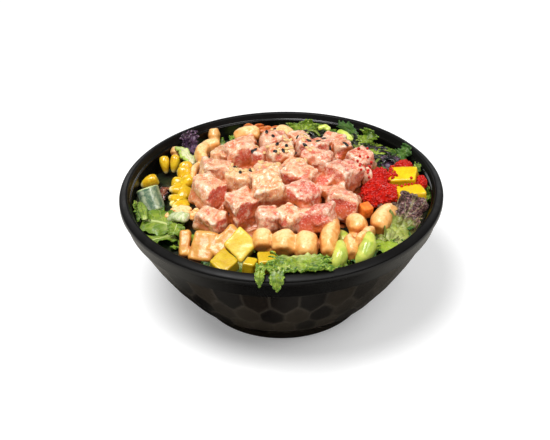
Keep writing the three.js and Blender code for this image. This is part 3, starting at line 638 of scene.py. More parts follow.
def tunaLook(place, normal, cubes):
    # bareness, tint and lowness at a place on the heap, from the cube that it lies on
    nearest, inside = None, 1.3
    for inward, half, faces, tint in cubes:
        local = inward @ place
        reach = max(abs(local[k]) / half[k] for k in range(3))
        if reach < inside:
            nearest, inside = (local, half, faces, tint), reach
    if nearest is None:
        return 0.1, 0.3, 1.0
    local, half, faces, tint = nearest
    weights = [max(0.0, normal.dot(side)) ** 4 for side, _ in faces]
    level = sum(w * amount for w, (_, amount) in zip(weights, faces)) / max(sum(weights), 1e-6)
    reaches = sorted(abs(local[k]) / half[k] for k in range(3))
    bare = level * smoothStep(1.12, 0.6, reaches[1] + 0.3 * wobble(place, 3.5, 4))
    # lowness is high on the lower sides of a cube, which get painted shade
    return bare, tint, smoothStep(0.45, -0.75, local.z / half.z) * (1 - max(0.0, normal.z))


def makeTuna():
    heap = moundShape(*tuna["mound"])
    for at, size, turn, _, _, _ in tunaCubes:
        addInto(heap, unevenBlock(at, size, turn))
    bm = fused(heap, tuna["voxel"])
    straight = [v.co.copy() for v in bm.verts]
    for v in bm.verts:
        v.co += tuna["warp"] * drift(v.co, 8.5) + 0.5 * tuna["warp"] * drift(v.co, 3.6, 7)
    smoothed(bm, 2)
    bm.normal_update()
    # the coat fills the creases, and the colour is made paler along the convex edges
    ridges = []
    for v, flat in zip(bm.verts, ironed(bm, 14)):
        depth = (flat - v.co).dot(v.normal)
        ridges.append(smoothStep(0.1, 0.8, -depth))
        if depth > 0:
            v.co = v.co.lerp(flat, tuna["fill"])
    bm.normal_update()
    cubes = [bareness(*row) for row in tunaCubes]
    looks = [tunaLook(place, v.normal, cubes) for v, place in zip(bm.verts, straight)]
    coats = [coatOver(place) for place in straight]
    for v, (bare, _, _), (blobs, string) in zip(bm.verts, looks, coats):
        v.co += v.normal * (tuna["blob"] * blobs + tuna["string"] * string) * (1 - 0.55 * bare)
    # how closed in each place is, which carries painted shade into the hollows
    closed = shelter(bm, 7.0)
    setLayer(bm, "bare", [bare for bare, _, _ in looks])
    setLayer(bm, "tint", evened(bm, [tint for _, tint, _ in looks], 3))
    setLayer(bm, "low", evened(bm, [low for _, _, low in looks], 2))
    setLayer(bm, "thick", [0.38 + 1.2 * blobs + 0.35 * string + 0.3 * ridge
                           for (blobs, string), ridge in zip(coats, ridges)])
    setLayer(bm, "gap", closed)
    return bm


def tunaSkin():
    material, tree, shader = newMaterial("tunaCoated", roughness=0.3, coat=0.5, coatRoughness=0.07,
                                         subsurface=0.12, radius=(2.4, 0.8, 0.5))
    patch, grain, _ = addMottle(tree, 3.0, 0.5)
    drip, thread, _ = addMottle(tree, 1.3, 0.45)
    _, dusting, dots = addMottle(tree, 2.0, 1.5)
    fleck, _, _ = addMottle(tree, 0.9, 0.4)
    tint, gap, bare, low, thick = [attribute(tree, key) for key in ("tint", "gap", "bare", "low", "thick")]
    thick = maths(tree, "ADD", thick, swing(tree, drip, 1.3))
    thin = layered(tree, blendColors(tree, tint, "e0945c", "dc8064"), (patch, 0.52, 0.68, 0.45, "da9494"))
    cream = blendColors(tree, tint, "eec290", "ebb69c")
    flesh = blendColors(tree, spread(tree, patch, 0.3, 0.7), "c84632", "de7058")
    covered = maths(tree, "MULTIPLY", maths(tree, "SUBTRACT", thick, 0.4), 0.6)
    window = maths(tree, "SUBTRACT", bare, covered)
    dotted = maths(tree, "MULTIPLY", dots, spread(tree, dusting, 0.5, 0.62, 0.0, 0.4))
    # painted shade: the low sides turn orange where the coat is thin
    low = maths(tree, "MULTIPLY", low, spread(tree, thick, 1.0, 0.2, 0.4, 1.0))
    # the last two layers are painted shade in the hollows, orange then dark brown
    color = layered(
        tree, thin, (thick, 0.15, 0.8, cream), (thick, 0.9, 1.2, 0.6, "fae8d6"), (window, 0.3, 0.8, flesh),
        (dotted, "8a5444"), (fleck, 0.55, 0.66, 0.5, "fff4ea"), (fleck, 0.43, 0.33, 0.45, "b4563c"),
        (low, "d06c2e"), (gap, 0.04, 0.26, 0.95, "be5c26"), (gap, 0.34, 0.58, 0.95, "42180c"))
    paint(tree, shader, color, spread(tree, grain, 0.3, 0.7, 0.24, 0.44))
    addBump(tree, shader, maths(tree, "ADD", thread, maths(tree, "MULTIPLY", drip, 1.6)), 0.3, 0.6)
    return material


tunaMesh = makeTuna()
tunaTree = BVHTree.FromBMesh(tunaMesh)
finishPiece(tunaMesh, "tunaCubes", "tuna", tunaSkin(), ["tuna_heap"])
print("tuna done")


# sesame: black and pale seeds dropped on the fish

seed = {
    "size": (1.8, 1.0, 0.6), "lowest": 74, "raised": 0.3,
    # middle, extent and number
    "paleSpots": [((-19, -1), (7, 6), 60), ((4, 22), (14, 9), 34)],
    "blackSpots": [((4, 27), (17, 7), 24), ((-15, 6), (6, 5), 16)],
    # single ones, as x, y and heading
    "black": [
        (-10.5, 30, 10), (0.5, 22.5, 70), (-1.5, 17, 20), (8.2, 20.5, 130), (11, 35, 160), (19.5, 34.5, 150),
        (26.5, 33.5, 10), (-14.5, 19.5, 60), (-23.6, 10.5, 80), (-24, 4, 150), (-25.5, -3, 30), (-13.5, 6, 80),
        (-5.5, 5.5, 25), (2.5, -4.5, 110), (17, 20.5, 20), (39, 12, 110),
    ],
}


def landings(tree, spots, lowest):
    # where small things dropped on these spots come to lie; those that would fall lower are left out
    for x, y, heading in spots:
        spot, normal, _, _ = tree.ray_cast(Vector((x, y, 130.0)), Vector((0, 0, -1)))
        if spot is not None and spot.z > lowest:
            yield spot, normal, heading


def seedShape(at, normal, heading):
    bm = evenBall(2)
    length, width, height = seed["size"]
    for v in bm.verts:
        narrow = 1 - 0.42 * max(v.co.x, 0) ** 1.5
        v.co = Vector((v.co.x * length, v.co.y * width * narrow, v.co.z * height * narrow))
    lie = normal.to_track_quat("Z", "Y").to_matrix().to_4x4() @ Matrix.Rotation(math.radians(heading), 4, "Z")
    return placed(bm, Matrix.Translation(at) @ lie)


def strewn(draw, spots):
    # drawn places with a heading, denser in the middle of each spot
    return [(draw.gauss(x, wide), draw.gauss(y, deep), draw.uniform(0, 180))
            for (x, y), (wide, deep), count in spots for _ in range(count)]


def makeSeeds():
    draw = random.Random(5)
    black = [*seed["black"], *strewn(draw, seed["blackSpots"])]
    pale = strewn(draw, seed["paleSpots"])
    for name, slot, spots, coat in (("blackSesame", "bowl_black", black, ("sesameBlack", "0a0908", "1a1713")),
                                    ("paleSesame", "pale_leaf", pale, ("sesamePale", "cf9f58", "eed39c"))):
        bm = bmesh.new()
        for spot, normal, heading in landings(tunaTree, spots, seed["lowest"]):
            addInto(bm, seedShape(spot + normal * seed["raised"], normal, heading))
        coatName, dark, light = coat
        finishPiece(bm, name, slot, plainFood(coatName, (1.5, 0.3), None, dark, light, (0.05, 0.5),
                                              roughness=0.42, coat=0.2))


makeSeeds()
print("sesame done")


# mango: cut cubes with soft corners

mango = {
    "voxel": 0.5, "edge": 0.9, "taper": 0.05, "rough": (0.45, 5.5, 0.09, 1.3),
    "cubes": {
        "mango_front_1": ((-22.2, -58.7, 71.4), (14, 14, 13), (35, -30, 35)),
        "mango_front_2": ((-30.7, -71.6, 68), (12, 12, 11), (14, -14, 43)),
        "mango_front_3": ((-17.5, -78, 70), (6.5, 7, 12), (0, 6, -20)),
        "mango_front_4": ((-8.5, -75.5, 71), (10, 9, 12), (6, 0, 4)),
        "mango_right_1": ((70.5, 1, 73), (16, 13, 12), (10, -6, -12)),
        "mango_right_2": ((72, -15.8, 71.5), (17, 12, 12), (-6, 4, 12)),
    },
}


def mangoFlesh(name, light, deep, blush, side):
    material, tree, shader = newMaterial(name, roughness=0.33, coat=0.25, coatRoughness=0.12,
                                         subsurface=0.35, radius=(3, 2, 0.5))
    patch, grain, _ = addMottle(tree, 6, 0.6)
    fibre, _, _ = addMottle(tree, 1.6, 0.5, (1, 5, 1))
    # the faces away from the cube's top are painted darker: painted shade
    color = layered(tree, blendColors(tree, spread(tree, patch, 0.3, 0.7), light, deep),
                    (fibre, 0.52, 0.72, 0.45, blush), (attribute(tree, "side"), 0.25, 0.95, 0.75, side))
    paint(tree, shader, color, spread(tree, grain, 0.3, 0.7, 0.26, 0.42))
    addBump(tree, shader, maths(tree, "ADD", grain, fibre), 0.12, 0.6)
    return material


def makeMango():
    pale = mangoFlesh("mangoPale", "e6ca4e", "deb838", "f2e28c", "d2a424")
    ripe = mangoFlesh("mangoRipe", "d0b01c", "c49c12", "e6d450", "a0800c")
    right = mangoFlesh("mangoDeep", "ecca12", "e4b60a", "f4da40", "dcae06")
    tops = bmesh.new()
    for index, (node, (at, size, turn)) in enumerate(mango["cubes"].items()):
        bm = fused(roundBlock(at, size, turn, mango["edge"], taper=mango["taper"]), mango["voxel"])
        smoothed(bm)
        roughen(bm, *mango["rough"], index)
        keepInBowl(bm)
        bm.normal_update()
        if "right" in node:
            addInto(tops, bm.copy())
        # how far each face turns from the cube's top, for its painted shade
        upward = placing((0, 0, 0), turn) @ Vector((0, 0, 1))
        setLayer(bm, "side", [1 - max(0.0, v.normal.dot(upward)) for v in bm.verts])
        flesh = right if "right" in node else pale if node == "mango_front_1" else ripe
        finishNode(bm, node, "mango", flesh)
    return tops


mangoTops = makeMango()
mangoTree = BVHTree.FromBMesh(mangoTops)
mangoTops.free()
print("mango done")


# a small cube of carrot

carrot = {
    "cube": ((45.4, -34.4, 76.4), (7, 7, 7), (10, 5, 30), 0.9), "core": ((-9.5, 59.5, 74.5), (17, 7, 8), (0, 0, 4)),
    "sticks": 26, "start": (-19, 59.8, 78.4), "span": 19, "thickness": 1.7, "sag": 2.2,
}


def carrotFlesh(name, light, deep):
    return plainFood(name, (2.4, 0.5), (0.3, 0.7), light, deep, (0.12, 0.6), roughness=0.38, coat=0.15,
                     subsurface=0.25, radius=(2, 0.9, 0.3))


def makeCarrotCube():
    bm = fused(roundBlock(*carrot["cube"], taper=0.06), 0.4)
    smoothed(bm)
    roughen(bm, 0.2, 2.6, 0.06, 0.9)
    finishNode(bm, "carrot_cube", "carrot", carrotFlesh("carrotCut", "ef8a34", "dc661e"))


makeCarrotCube()


# sweet corn: single kernels and a loose band of them

corn = {
    "size": (8.2, 6, 12), "lying": (6.5, 8, 11.5), "rough": (0.22, 3.4), "lyingRough": (0.25, 3.2),
    "singles": {
        "corn_kernel_1": ((-69.8, 36.6, 67.4), (4, -30, -85)),
        "corn_kernel_2": ((-63.4, 34.6, 69), (-5, -36, -98)),
        "corn_kernel_3": ((-77.6, 20, 65), (0, 72, 15)),
    },
    "band": [
        ((-56.3, 13, 73.4), (0, -57, 90)), ((-58.5, -2, 72.4), (10, 10, 12)), ((-59.6, 4.6, 71.4), (10, -50, 70)),
        ((-58.6, -11.5, 71.4), (-10, 12, -25)), ((-55, -7.5, 73), (20, -10, 60)), ((-54.8, 4.5, 73.4), (0, -30, 20)),
        ((-55.6, 22, 71.8), (0, -60, 110)), ((-56.5, -16, 70.6), (10, 10, 40)),
    ],
    "route": [(-56.5, -14, 66.5), (-57, -2, 67.5), (-56, 12, 68), (-55.5, 23, 66.5)],
    "core": (10, 8),
    # more kernels between them, lower down
    "fillers": 13, "fillerSize": (6.4, 5.0, 9.4), "fillerSway": 2.5, "fillerRise": 2.6,
}


def kernel(size, matrix, sides=26, rings=18):
    # broad crown with a dent at +Z, narrow pale root at -Z
    bm = ball(sides, rings)
    crown = bm.verts.layers.float.new("crown")
    for v in bm.verts:
        v[crown] = v.co.z
        narrow = 0.6 + 0.44 * smoothStep(-1.1, 0.35, v.co.z)
        x, y, z = [math.copysign(abs(c) ** 0.8, c) for c in v.co]
        dent = 0.16 * smoothStep(0.55, 1.0, v.co.z) * (1 - min(1, abs(x) * 1.2) ** 2)
        v.co = Vector((x * narrow * size[0] / 2, y * narrow * size[1] / 2, (z - dent) * size[2] / 2))
    return placed(bm, matrix)


def cornSkin():
    material, tree, shader = newMaterial("cornSkin", roughness=0.22, coat=0.4, coatRoughness=0.08,
                                         subsurface=0.35, radius=(2.5, 1.8, 0.4))
    patch, grain, _ = addMottle(tree, 3.4, 0.5)
    crown = attribute(tree, "crown")
    # the root is pale, and the crown gets a painted highlight
    paint(tree, shader, layered(tree, blendColors(tree, spread(tree, patch, 0.3, 0.7), "e6c22a", "d09e18"),
                                (crown, -0.5, -0.98, "f0dc90"), (crown, 0.6, 0.95, 0.5, "f6d860")))
    addBump(tree, shader, grain, 0.05, 0.5)
    return material


def makeCorn():
    skin = cornSkin()
    for index, (node, (at, turn)) in enumerate(corn["singles"].items()):
        bm = kernel(corn["size"], placing(at, turn))
        roughen(bm, *corn["rough"], start=index)
        keepInBowl(bm)
        finishNode(bm, node, "corn", skin)
    heap = bmesh.new()
    heap.verts.layers.float.new("crown")
    addInto(heap, strand(corn["route"], *corn["core"], sides=20, rings=20))
    for index, (at, turn) in enumerate(corn["band"]):
        part = kernel(corn["lying"], placing(at, turn) @ Matrix.Rotation(math.radians(90), 4, "Y"))
        roughen(part, *corn["lyingRough"], start=index)
        addInto(heap, part)
    for index in range(corn["fillers"]):
        x, y, z = routePoint(corn["route"], index / (corn["fillers"] - 1))
        at = (x + corn["fillerSway"] * math.sin(5.1 * index), y + corn["fillerSway"] * math.cos(3.7 * index),
              z + corn["fillerRise"] + 1.2 * math.sin(2.3 * index))
        lie = placing(at, (37 * index % 360, 90 + 23 * (index % 3), 71 * index % 360))
        addInto(heap, kernel(corn["fillerSize"], lie, sides=20, rings=14))
    finishNode(heap, "corn_heap", "corn", skin)


makeCorn()
print("corn done")


# green soy beans

edamame = {
    "beans": {
        "edamame_1": ((42.6, -67.5, 74), (20, 9, 10.5), (8, -34, 62)),
        "edamame_2": ((28.6, -70.4, 72.5), (17, 8, 9), (-10, -30, 70)),
        "edamame_3": ((31, -52, 70.5), (11, 8, 8), (0, 10, 120)),
    },
    "bend": 1.6, "groove": 0.35, "rough": (0.3, 4.4, 0.05, 1.2),
}


def makeBeans():
    skin = plainFood("beanSkin", (5, 0.5), (0.3, 0.72), "d0d266", "9cb242", (0.06, 0.5), roughness=0.26,
                     coat=0.35, coatRoughness=0.1, subsurface=0.3, radius=(1.2, 2, 0.4))
    for index, (node, (at, size, turn)) in enumerate(edamame["beans"].items()):
        bm = nugget(at, size, turn, sides=36, rings=26, bend=edamame["bend"])
        inward = placing(at, turn).inverted()
        for v in bm.verts:
            local = inward @ v.co
            across = abs(local.z) / (size[2] / 2)
            groove = smoothStep(0.16, 0.0, across) * smoothStep(0.2, 0.9, local.y / (size[1] / 2) + 0.5)
            v.co += (Vector(at) - v.co).normalized() * edamame["groove"] * groove
        roughen(bm, *edamame["rough"], index)
        keepInBowl(bm)
        finishNode(bm, node, "edamame", skin)


makeBeans()
print("beans done")


# cucumber: a thick half slice, skin side out

cucumber = {
    "at": (-74.2, -7.3, 69.6), "turn": (145, -15, 10), "radius": 6.5, "height": 8, "length": 14, "sink": 1.2,
    "edge": 0.7, "peel": 0.9, "voxel": 0.42, "rough": (0.16, 3.0, 0.04, 0.9),
}


def makeCucumber():
    radius, height, length, sink = [cucumber[k] for k in ("radius", "height", "length", "sink")]
    bm = bmesh.new()
    arc = [math.pi * k / 20 for k in range(21)]
    rim = [bm.verts.new((radius * math.cos(a), height * math.sin(a) - sink, -length / 2)) for a in arc]
    grown = bmesh.ops.extrude_face_region(bm, geom=[bm.faces.new(rim)])
    bmesh.ops.translate(bm, vec=(0, 0, length), verts=[g for g in grown["geom"] if isinstance(g, bmesh.types.BMVert)])
    bmesh.ops.recalc_face_normals(bm, faces=bm.faces)
    sharp = [e for e in bm.edges if e.calc_face_angle(0) > 0.8]
    bm = fused(bevelled(bm, sharp, cucumber["edge"]), cucumber["voxel"])
    skin = bm.verts.layers.float.new("skin")
    strip = bm.verts.layers.float.new("strip")
    for v in bm.verts:
        x, y = v.co.x / radius, (v.co.y + sink) / height
        ends = smoothStep(length / 2, length / 2 - cucumber["peel"], abs(v.co.z))
        v[skin] = smoothStep(0.86, 0.95, math.hypot(x, y)) * ends
        v[strip] = math.atan2(y, x)
    placed(bm, placing(cucumber["at"], cucumber["turn"]))
    roughen(bm, *cucumber["rough"])
    keepInBowl(bm)
    finishNode(bm, "cucumber_piece", "cucumber", cucumberSkin())


def cucumberSkin():
    material, tree, shader = newMaterial("cucumberSkin", roughness=0.25, coat=0.4, coatRoughness=0.1,
                                         subsurface=0.12, radius=(1, 2, 0.6))
    patch, grain, _ = addMottle(tree, 2.6, 0.6)
    stripes = maths(tree, "SINE", maths(tree, "MULTIPLY", attribute(tree, "strip"), 7.0))
    stripes = maths(tree, "ADD", stripes, swing(tree, patch, 6.0))
    green = blendColors(tree, spread(tree, stripes, -1.4, 2.2), "546f58", "b4bc9c")
    flesh = blendColors(tree, patch, "dfe4a4", "b9cc74")
    paint(tree, shader, blendColors(tree, attribute(tree, "skin"), flesh, green))
    addBump(tree, shader, grain, 0.06, 0.5)
    return material


makeCucumber()
print("cucumber done")


# sauce: thick piped ribbons and dabs

sauce = {
    "sink": 3, "voxel": 0.55, "lump": 0.4, "ripple": 0.12, "pool": 20, "edge": 1.5, "taper": 0.03, "slabPaintedLightShare": 0.62,
    "slabs": {
        "sauce_front_left_1": ((-51.9, -54.2, 70.6), (6, 15, 8), (40, 0, 0)),
        "sauce_front_left_2": ((-41.5, -58.6, 71), (13, 17, 8), (38, 0, -18.6)),
        "sauce_front_left_3": ((-30.5, -57.5, 73.4), (9, 20, 8), (28, 25, -40)),
    },
    "strands": {
        "sauce_front_1": ([(-10.5, -56.5, 76.2), (-10.6, -60.5, 77.3), (-10.8, -65.5, 75.2)], 11.5, 10),
        "sauce_front_2": ([(1, -59, 76), (0.6, -64, 77.4), (0.2, -69.5, 75)], 14.5, 11),
        "sauce_front_3": ([(12.5, -58.5, 76), (12, -66, 77.2), (11.4, -73, 74.6)], 12.5, 10.5),
        "sauce_front_4": ([(27.5, -41, 77.4), (25.6, -52, 78), (23.8, -63, 77), (22.8, -71.5, 74.6)], 9.5, 10),
        "sauce_right_1": ([(36.5, -41.5, 76.8), (40.5, -47.5, 76.6), (37.5, -52.5, 75.4)], 10.5, 9),
        "sauce_right_2": ([(35.6, -57.5, 75), (34.8, -64, 74.6), (35.6, -71.4, 73.6)], 8, 8.5),
        "sauce_right_3": ([(48, -50.5, 75.4), (43.6, -58, 77.6), (38.8, -67, 80)], 6, 5),
        "sauce_right_4": ([(61, -31, 74.8), (54.5, -40.5, 76.4), (50.8, -50, 75)], 11, 9.5),
        "sauce_left_1": ([(-44.5, 25, 75.6), (-47.2, 34, 76), (-43.6, 43.5, 75.6), (-36, 43.5, 77.6)], 8, 8),
        "sauce_left_2": ([(-48.6, 26, 73), (-50.4, 17, 74), (-51.2, 7, 74)], 5.5, 5.5),
        "sauce_wall_1": ([(-41.6, 73.8, 73.2), (-41, 71, 67.6), (-40.6, 66, 63)], 7.5, 5),
        "sauce_wall_2": ([(-64.6, 53.2, 71.8), (-64.2, 51, 67.6), (-62.5, 46.5, 64)], 5.5, 5),
        "sauce_back_1": ([(-27.5, 52.5, 77.4), (-19.5, 52.8, 79.6), (-11.5, 51.8, 79.8)], 11, 7),
        "sauce_back_2": ([(-1.5, 51.5, 78.2), (3, 52.2, 80), (8.5, 47, 77.4)], 10, 7),
    },
}
# the slabs, and the dabs of each place, have run together into one piece
saucePieces = {"sauceFrontLeft": list(sauce["slabs"])}
for place, count in (("Front", 4), ("Right", 4), ("Left", 2), ("Wall", 2), ("Back", 2)):
    saucePieces["sauce" + place] = [f"sauce_{place.lower()}_{k + 1}" for k in range(count)]


def sauceCream(name, light, deep):
    material, tree, shader = newMaterial(name, roughness=0.34, coat=0.3, coatRoughness=0.12,
                                         subsurface=0.12, radius=(2.4, 1.5, 0.7))
    patch, grain, _ = addMottle(tree, 4, 1.2)
    smear, _, fine = addMottle(tree, 2, 2.4)
    gap = attribute(tree, "gap")
    # the colour follows how much the skin faces up: a painted highlight on top, painted shade on the sides and
    # underneath
    top = maths(tree, "ADD", attribute(tree, "up"), swing(tree, smear, 0.9))
    specks = maths(tree, "MULTIPLY", fine, spread(tree, smear, 0.5, 0.65, 0, 0.55))
    # the hollows get painted shade, orange then dark brown
    color = layered(
        tree, blendColors(tree, spread(tree, patch, 0.3, 0.7), light, deep),
        (top, 0.65, 1.1, 0.8, "fbdaa2"), (top, 0.45, -0.35, 0.9, "cb702e"), (gap, 0.06, 0.34, 0.85, "bf6a2a"),
        (gap, 0.38, 0.62, 0.9, "5a2a12"), (specks, "cf6c2a"))
    paint(tree, shader, color, spread(tree, patch, 0.3, 0.7, 0.26, 0.44))
    addBump(tree, shader, maths(tree, "ADD", grain, smear), 0.25, 0.6)
    return material


def makeSauce():
    cream = sauceCream("spicySauce", "f2bc74", "e69a4a")
    slabCream = sauceCream("slabSauce", "dca654", "cc8838")
    for index, (name, nodes) in enumerate(saucePieces.items()):
        heap = bmesh.new()
        middles = []
        flat = name == "sauceFrontLeft"
        for k, node in enumerate(nodes):
            if flat:
                addInto(heap, roundBlock(*sauce["slabs"][node], sauce["edge"], taper=sauce["taper"]))
                continue
            route, width, height = sauce["strands"][node]
            sunk = [(x, y, z - sauce["sink"] / 2) for x, y, z in route]
            addInto(heap, strand(sunk, width, height + sauce["sink"], sides=36, rings=44, blunt=0.42, waver=0.16,
                                 ridges=0.025, seed=3.1 * k + index))
            middles.append(routePoint(sunk, 0.5) - Vector((0, 0, 0.3 * height)))
        # a strip joins the feet of dabs that are side by side
        for a, b in zip(middles, middles[1:]):
            if (b - a).length < sauce["pool"]:
                addInto(heap, strand([a, (a + b) / 2, b], 9, 5))
        bm = fused(heap, sauce["voxel"])
        for v in bm.verts:
            v.co += 0.5 * drift(v.co, 7, index)
        smoothed(bm)
        roughen(bm, sauce["lump"], 5.5, sauce["ripple"], 2.3, index)
        keepInBowl(bm)
        # how closed in each place is, for painted shade in the hollows
        setLayer(bm, "gap", shelter(bm, 6.0, [tunaTree]))
        # how much the skin faces up, for painted light and shade; the slabs take less of it
        setLayer(bm, "up", [v.normal.z * (sauce["slabPaintedLightShare"] if flat else 1.0) for v in bm.verts])
        finishPiece(bm, name, "sauce", slabCream if flat else cream, nodes)


makeSauce()
print("sauce done")


# fish roe: heaps of tiny beads and some strays

roe = {
    "bead": 0.82, "relief": 0.1, "lowest": 71,
    "heaps": {  # lumps as (place, size, beads), number of bumps
        "roe_heap": ([((53.8, -14, 74), (18, 25, 12), 330), ((57.2, 1.5, 75), (12, 17, 9), 170),
                      ((61.5, -14.5, 74), (12, 15, 9), 150)], 4),
        "roe_back": ([((72.4, 15.4, 74), (10, 10, 6.5), 110)], 3),
        "roe_right": ([((80.2, -1.4, 72.4), (7, 9.5, 8.5), 100)], 3),
    },
    # middle, extent and number
    "onMango": [((70, -3), (8, 9), 8), ((63, 1), (1.6, 5), 60), ((68, -8.5), (6, 1.5), 50)],
    "onTuna": [((50, -4), (4, 11), 55)],
}


def heapReach(direction, bumps):
    waves = math.sin(bumps * direction.x + 1) * math.sin(bumps * direction.y + 2) * math.sin(bumps * direction.z + 3)
    return 1 + roe["relief"] * waves


def bead(at, radius):
    bm = bmesh.new()
    bmesh.ops.create_icosphere(bm, subdivisions=2, radius=radius, matrix=Matrix.Translation(at))
    return bm


def makeRoe():
    skin = plainFood("roeRed", (2.6, 0.8), (0.3, 0.7), "d4200e", "a40a04", roughness=0.28, coat=0.1,
                     coatRoughness=0.08, subsurface=0.3, radius=(2.5, 0.4, 0.2), specular=0.4)
    draw = random.Random(17)
    for node, (lumps, bumps) in roe["heaps"].items():
        heap = bmesh.new()
        for at, size, count in lumps:
            core = evenBall(4)
            for v in core.verts:
                reach = heapReach(v.co, bumps) * 0.95
                v.co = Vector([v.co[k] * reach * size[k] / 2 + at[k] for k in range(3)])
            addInto(heap, core)
            for k in range(count):
                # turned by the golden angle each time, from the top down past the middle
                direction = onBall(1 - 1.35 * (k + 0.5) / count, 2.39996 * k + draw.uniform(-0.25, 0.25))
                reach = heapReach(direction, bumps) * draw.uniform(0.9, 1.06)
                spot = Vector([direction[i] * reach * (size[i] / 2 - 0.4) + at[i] for i in range(3)])
                addInto(heap, bead(spot, roe["bead"] * draw.uniform(0.85, 1.12)))
        keepInBowl(heap)
        finishNode(heap, node, "roe", skin)
    strays = bmesh.new()
    for tree, spots in ((mangoTree, roe["onMango"]), (tunaTree, roe["onTuna"])):
        for spot, normal, _ in landings(tree, strewn(draw, spots), roe["lowest"]):
            addInto(strays, bead(spot + normal * 0.5, roe["bead"] * draw.uniform(0.85, 1.1)))
    finishPiece(strays, "roeStrays", "roe", skin)


makeRoe()
print("roe done")


# leaves: a grid drawn over a bending, frilled surface, then given its thickness

leafLayers = ("along", "across", "tone")


def leafHeap():
    bm = bmesh.new()
    for key in leafLayers:
        bm.verts.layers.float.new(key)
    return bm


def blade(root, heading, shape, waves=2.0, tip=0.5, point=0.0, sections=6, fringe=0.8, teeth=0.14, crinkle=0.9,
          steps=(44, 26), start=0.0, tone=0.5):
    length, width, curl, lift, roll, frill = shape
    bm = bmesh.new()
    bmesh.ops.create_grid(bm, x_segments=steps[0], y_segments=steps[1], size=0.5)
    layers = [bm.verts.layers.float.new(key) for key in leafLayers]
    turn, rise, bend, lean = [math.radians(a) for a in (heading, lift, curl, roll)]
    ahead = Vector((math.cos(turn), math.sin(turn), 0))
    left = Vector((-math.sin(turn), math.cos(turn), 0))
    fine = 120
    spine = [Vector(root)]
    for k in range(fine):
        pitch = rise + bend * ((k + 0.5) / fine + 0.5 / sections)
        spine.append(spine[-1] + (ahead * math.cos(pitch) + Vector((0, 0, math.sin(pitch)))) * length / fine)
    for vert in bm.verts:
        u, v = vert.co.x + 0.5, 2 * vert.co.y
        for layer, value in zip(layers, (u, v, tone)):
            vert[layer] = value
        pitch = rise + bend * u
        tangent = ahead * math.cos(pitch) + Vector((0, 0, math.sin(pitch)))
        normal = tangent.cross(left)
        side = left * math.cos(lean) + normal * math.sin(lean)
        face = tangent.cross(side)
        outline = (1 + 0.12 * math.sin(9 * u + heading)) * math.sin(math.pi * (0.14 + 0.72 * u)) ** tip
        outline *= 1 - point * u * u
        rim = abs(v) ** 4
        outline *= 1 + teeth * rim * (math.sin(31 * u + 7 * start) + 0.7 * math.sin(53 * u + 2 + start))
        ends = smoothStep(0.82, 1.0, u) + 0.6 * smoothStep(0.12, 0.0, u)
        ruffle = frill * v * v * math.sin(2 * math.pi * waves * u + 1.3 * v + heading)
        edge = max(abs(v) ** 2.5, 0.8 * ends)
        ruffle += fringe * edge * math.sin(2 * math.pi * waves * 3.1 * u + 2.6 * v + start)
        ruffle += fringe * 0.7 * edge * wobble((9 * u, 5 * v, start), 1.0)
        ruffle += crinkle * wobble((u * length, v * width / 2, start), 3.2)
        ruffle -= 0.35 * math.exp(-(v / 0.09) ** 2)
        place = spine[min(round(u * fine), fine)] + tangent * teeth * 0.1 * length * ends * math.sin(19 * v + start)
        vert.co = place + side * (v * width / 2 * outline) + face * ruffle
    return bm


def thicken(piece, thickness=0.5):
    wall = piece.modifiers.new("thickness", "SOLIDIFY")
    wall.thickness = thickness * mm
    wall.offset = 0
    wall.use_even_offset = False


def leafColors(name, stem, low, high, rim, rimLight=None, roughness=0.42, coat=0.15, rimFrom=0.62, rib=0.25,
               edgeShare=1.0, tipLoss=0.12):
    material, tree, shader = newMaterial(name, roughness=roughness, coat=coat, coatRoughness=0.2,
                                         subsurface=0.18, radius=(1, 2, 0.4))
    along, across, tone = [attribute(tree, key) for key in leafLayers]
    off = maths(tree, "ABSOLUTE", across)
    patch, grain, _ = addMottle(tree, 4.5, 0.9)
    shade = maths(tree, "ADD", patch, maths(tree, "SUBTRACT", tone, 0.5))
    edge = maths(tree, "MAXIMUM", maths(tree, "MULTIPLY", off, edgeShare), maths(tree, "SUBTRACT", along, tipLoss))
    edge = maths(tree, "ADD", edge, swing(tree, patch, 0.7))
    fringe = blendColors(tree, spread(tree, grain, 0.45, 0.65), rim, rimLight or rim)
    ribs = maths(tree, "SUBTRACT", maths(tree, "MULTIPLY", along, 7.0), maths(tree, "MULTIPLY", off, 3.4))
    veins = spread(tree, maths(tree, "PINGPONG", ribs, 1.0), 0.16, 0.03)
    middle = spread(tree, off, 0.13, 0.04)
    stemLike = maths(tree, "MAXIMUM", maths(tree, "MULTIPLY", veins, 0.3), maths(tree, "MULTIPLY", middle, rib))
    foot = maths(tree, "MULTIPLY", spread(tree, along, 0.3, 0.0), spread(tree, off, 0.8, 0.2))
    stemLike = maths(tree, "MULTIPLY", maths(tree, "MAXIMUM", stemLike, foot), 0.8)
    color = blendColors(tree, spread(tree, shade, 0.25, 0.75), low, high)
    paint(tree, shader, layered(tree, color, (edge, rimFrom, rimFrom + 0.3, fringe), (stemLike, stem)))
    height = maths(tree, "SUBTRACT", grain, maths(tree, "MULTIPLY", maths(tree, "MAXIMUM", veins, middle), 0.8))
    addBump(tree, shader, height, 0.3, 0.7)
    return material


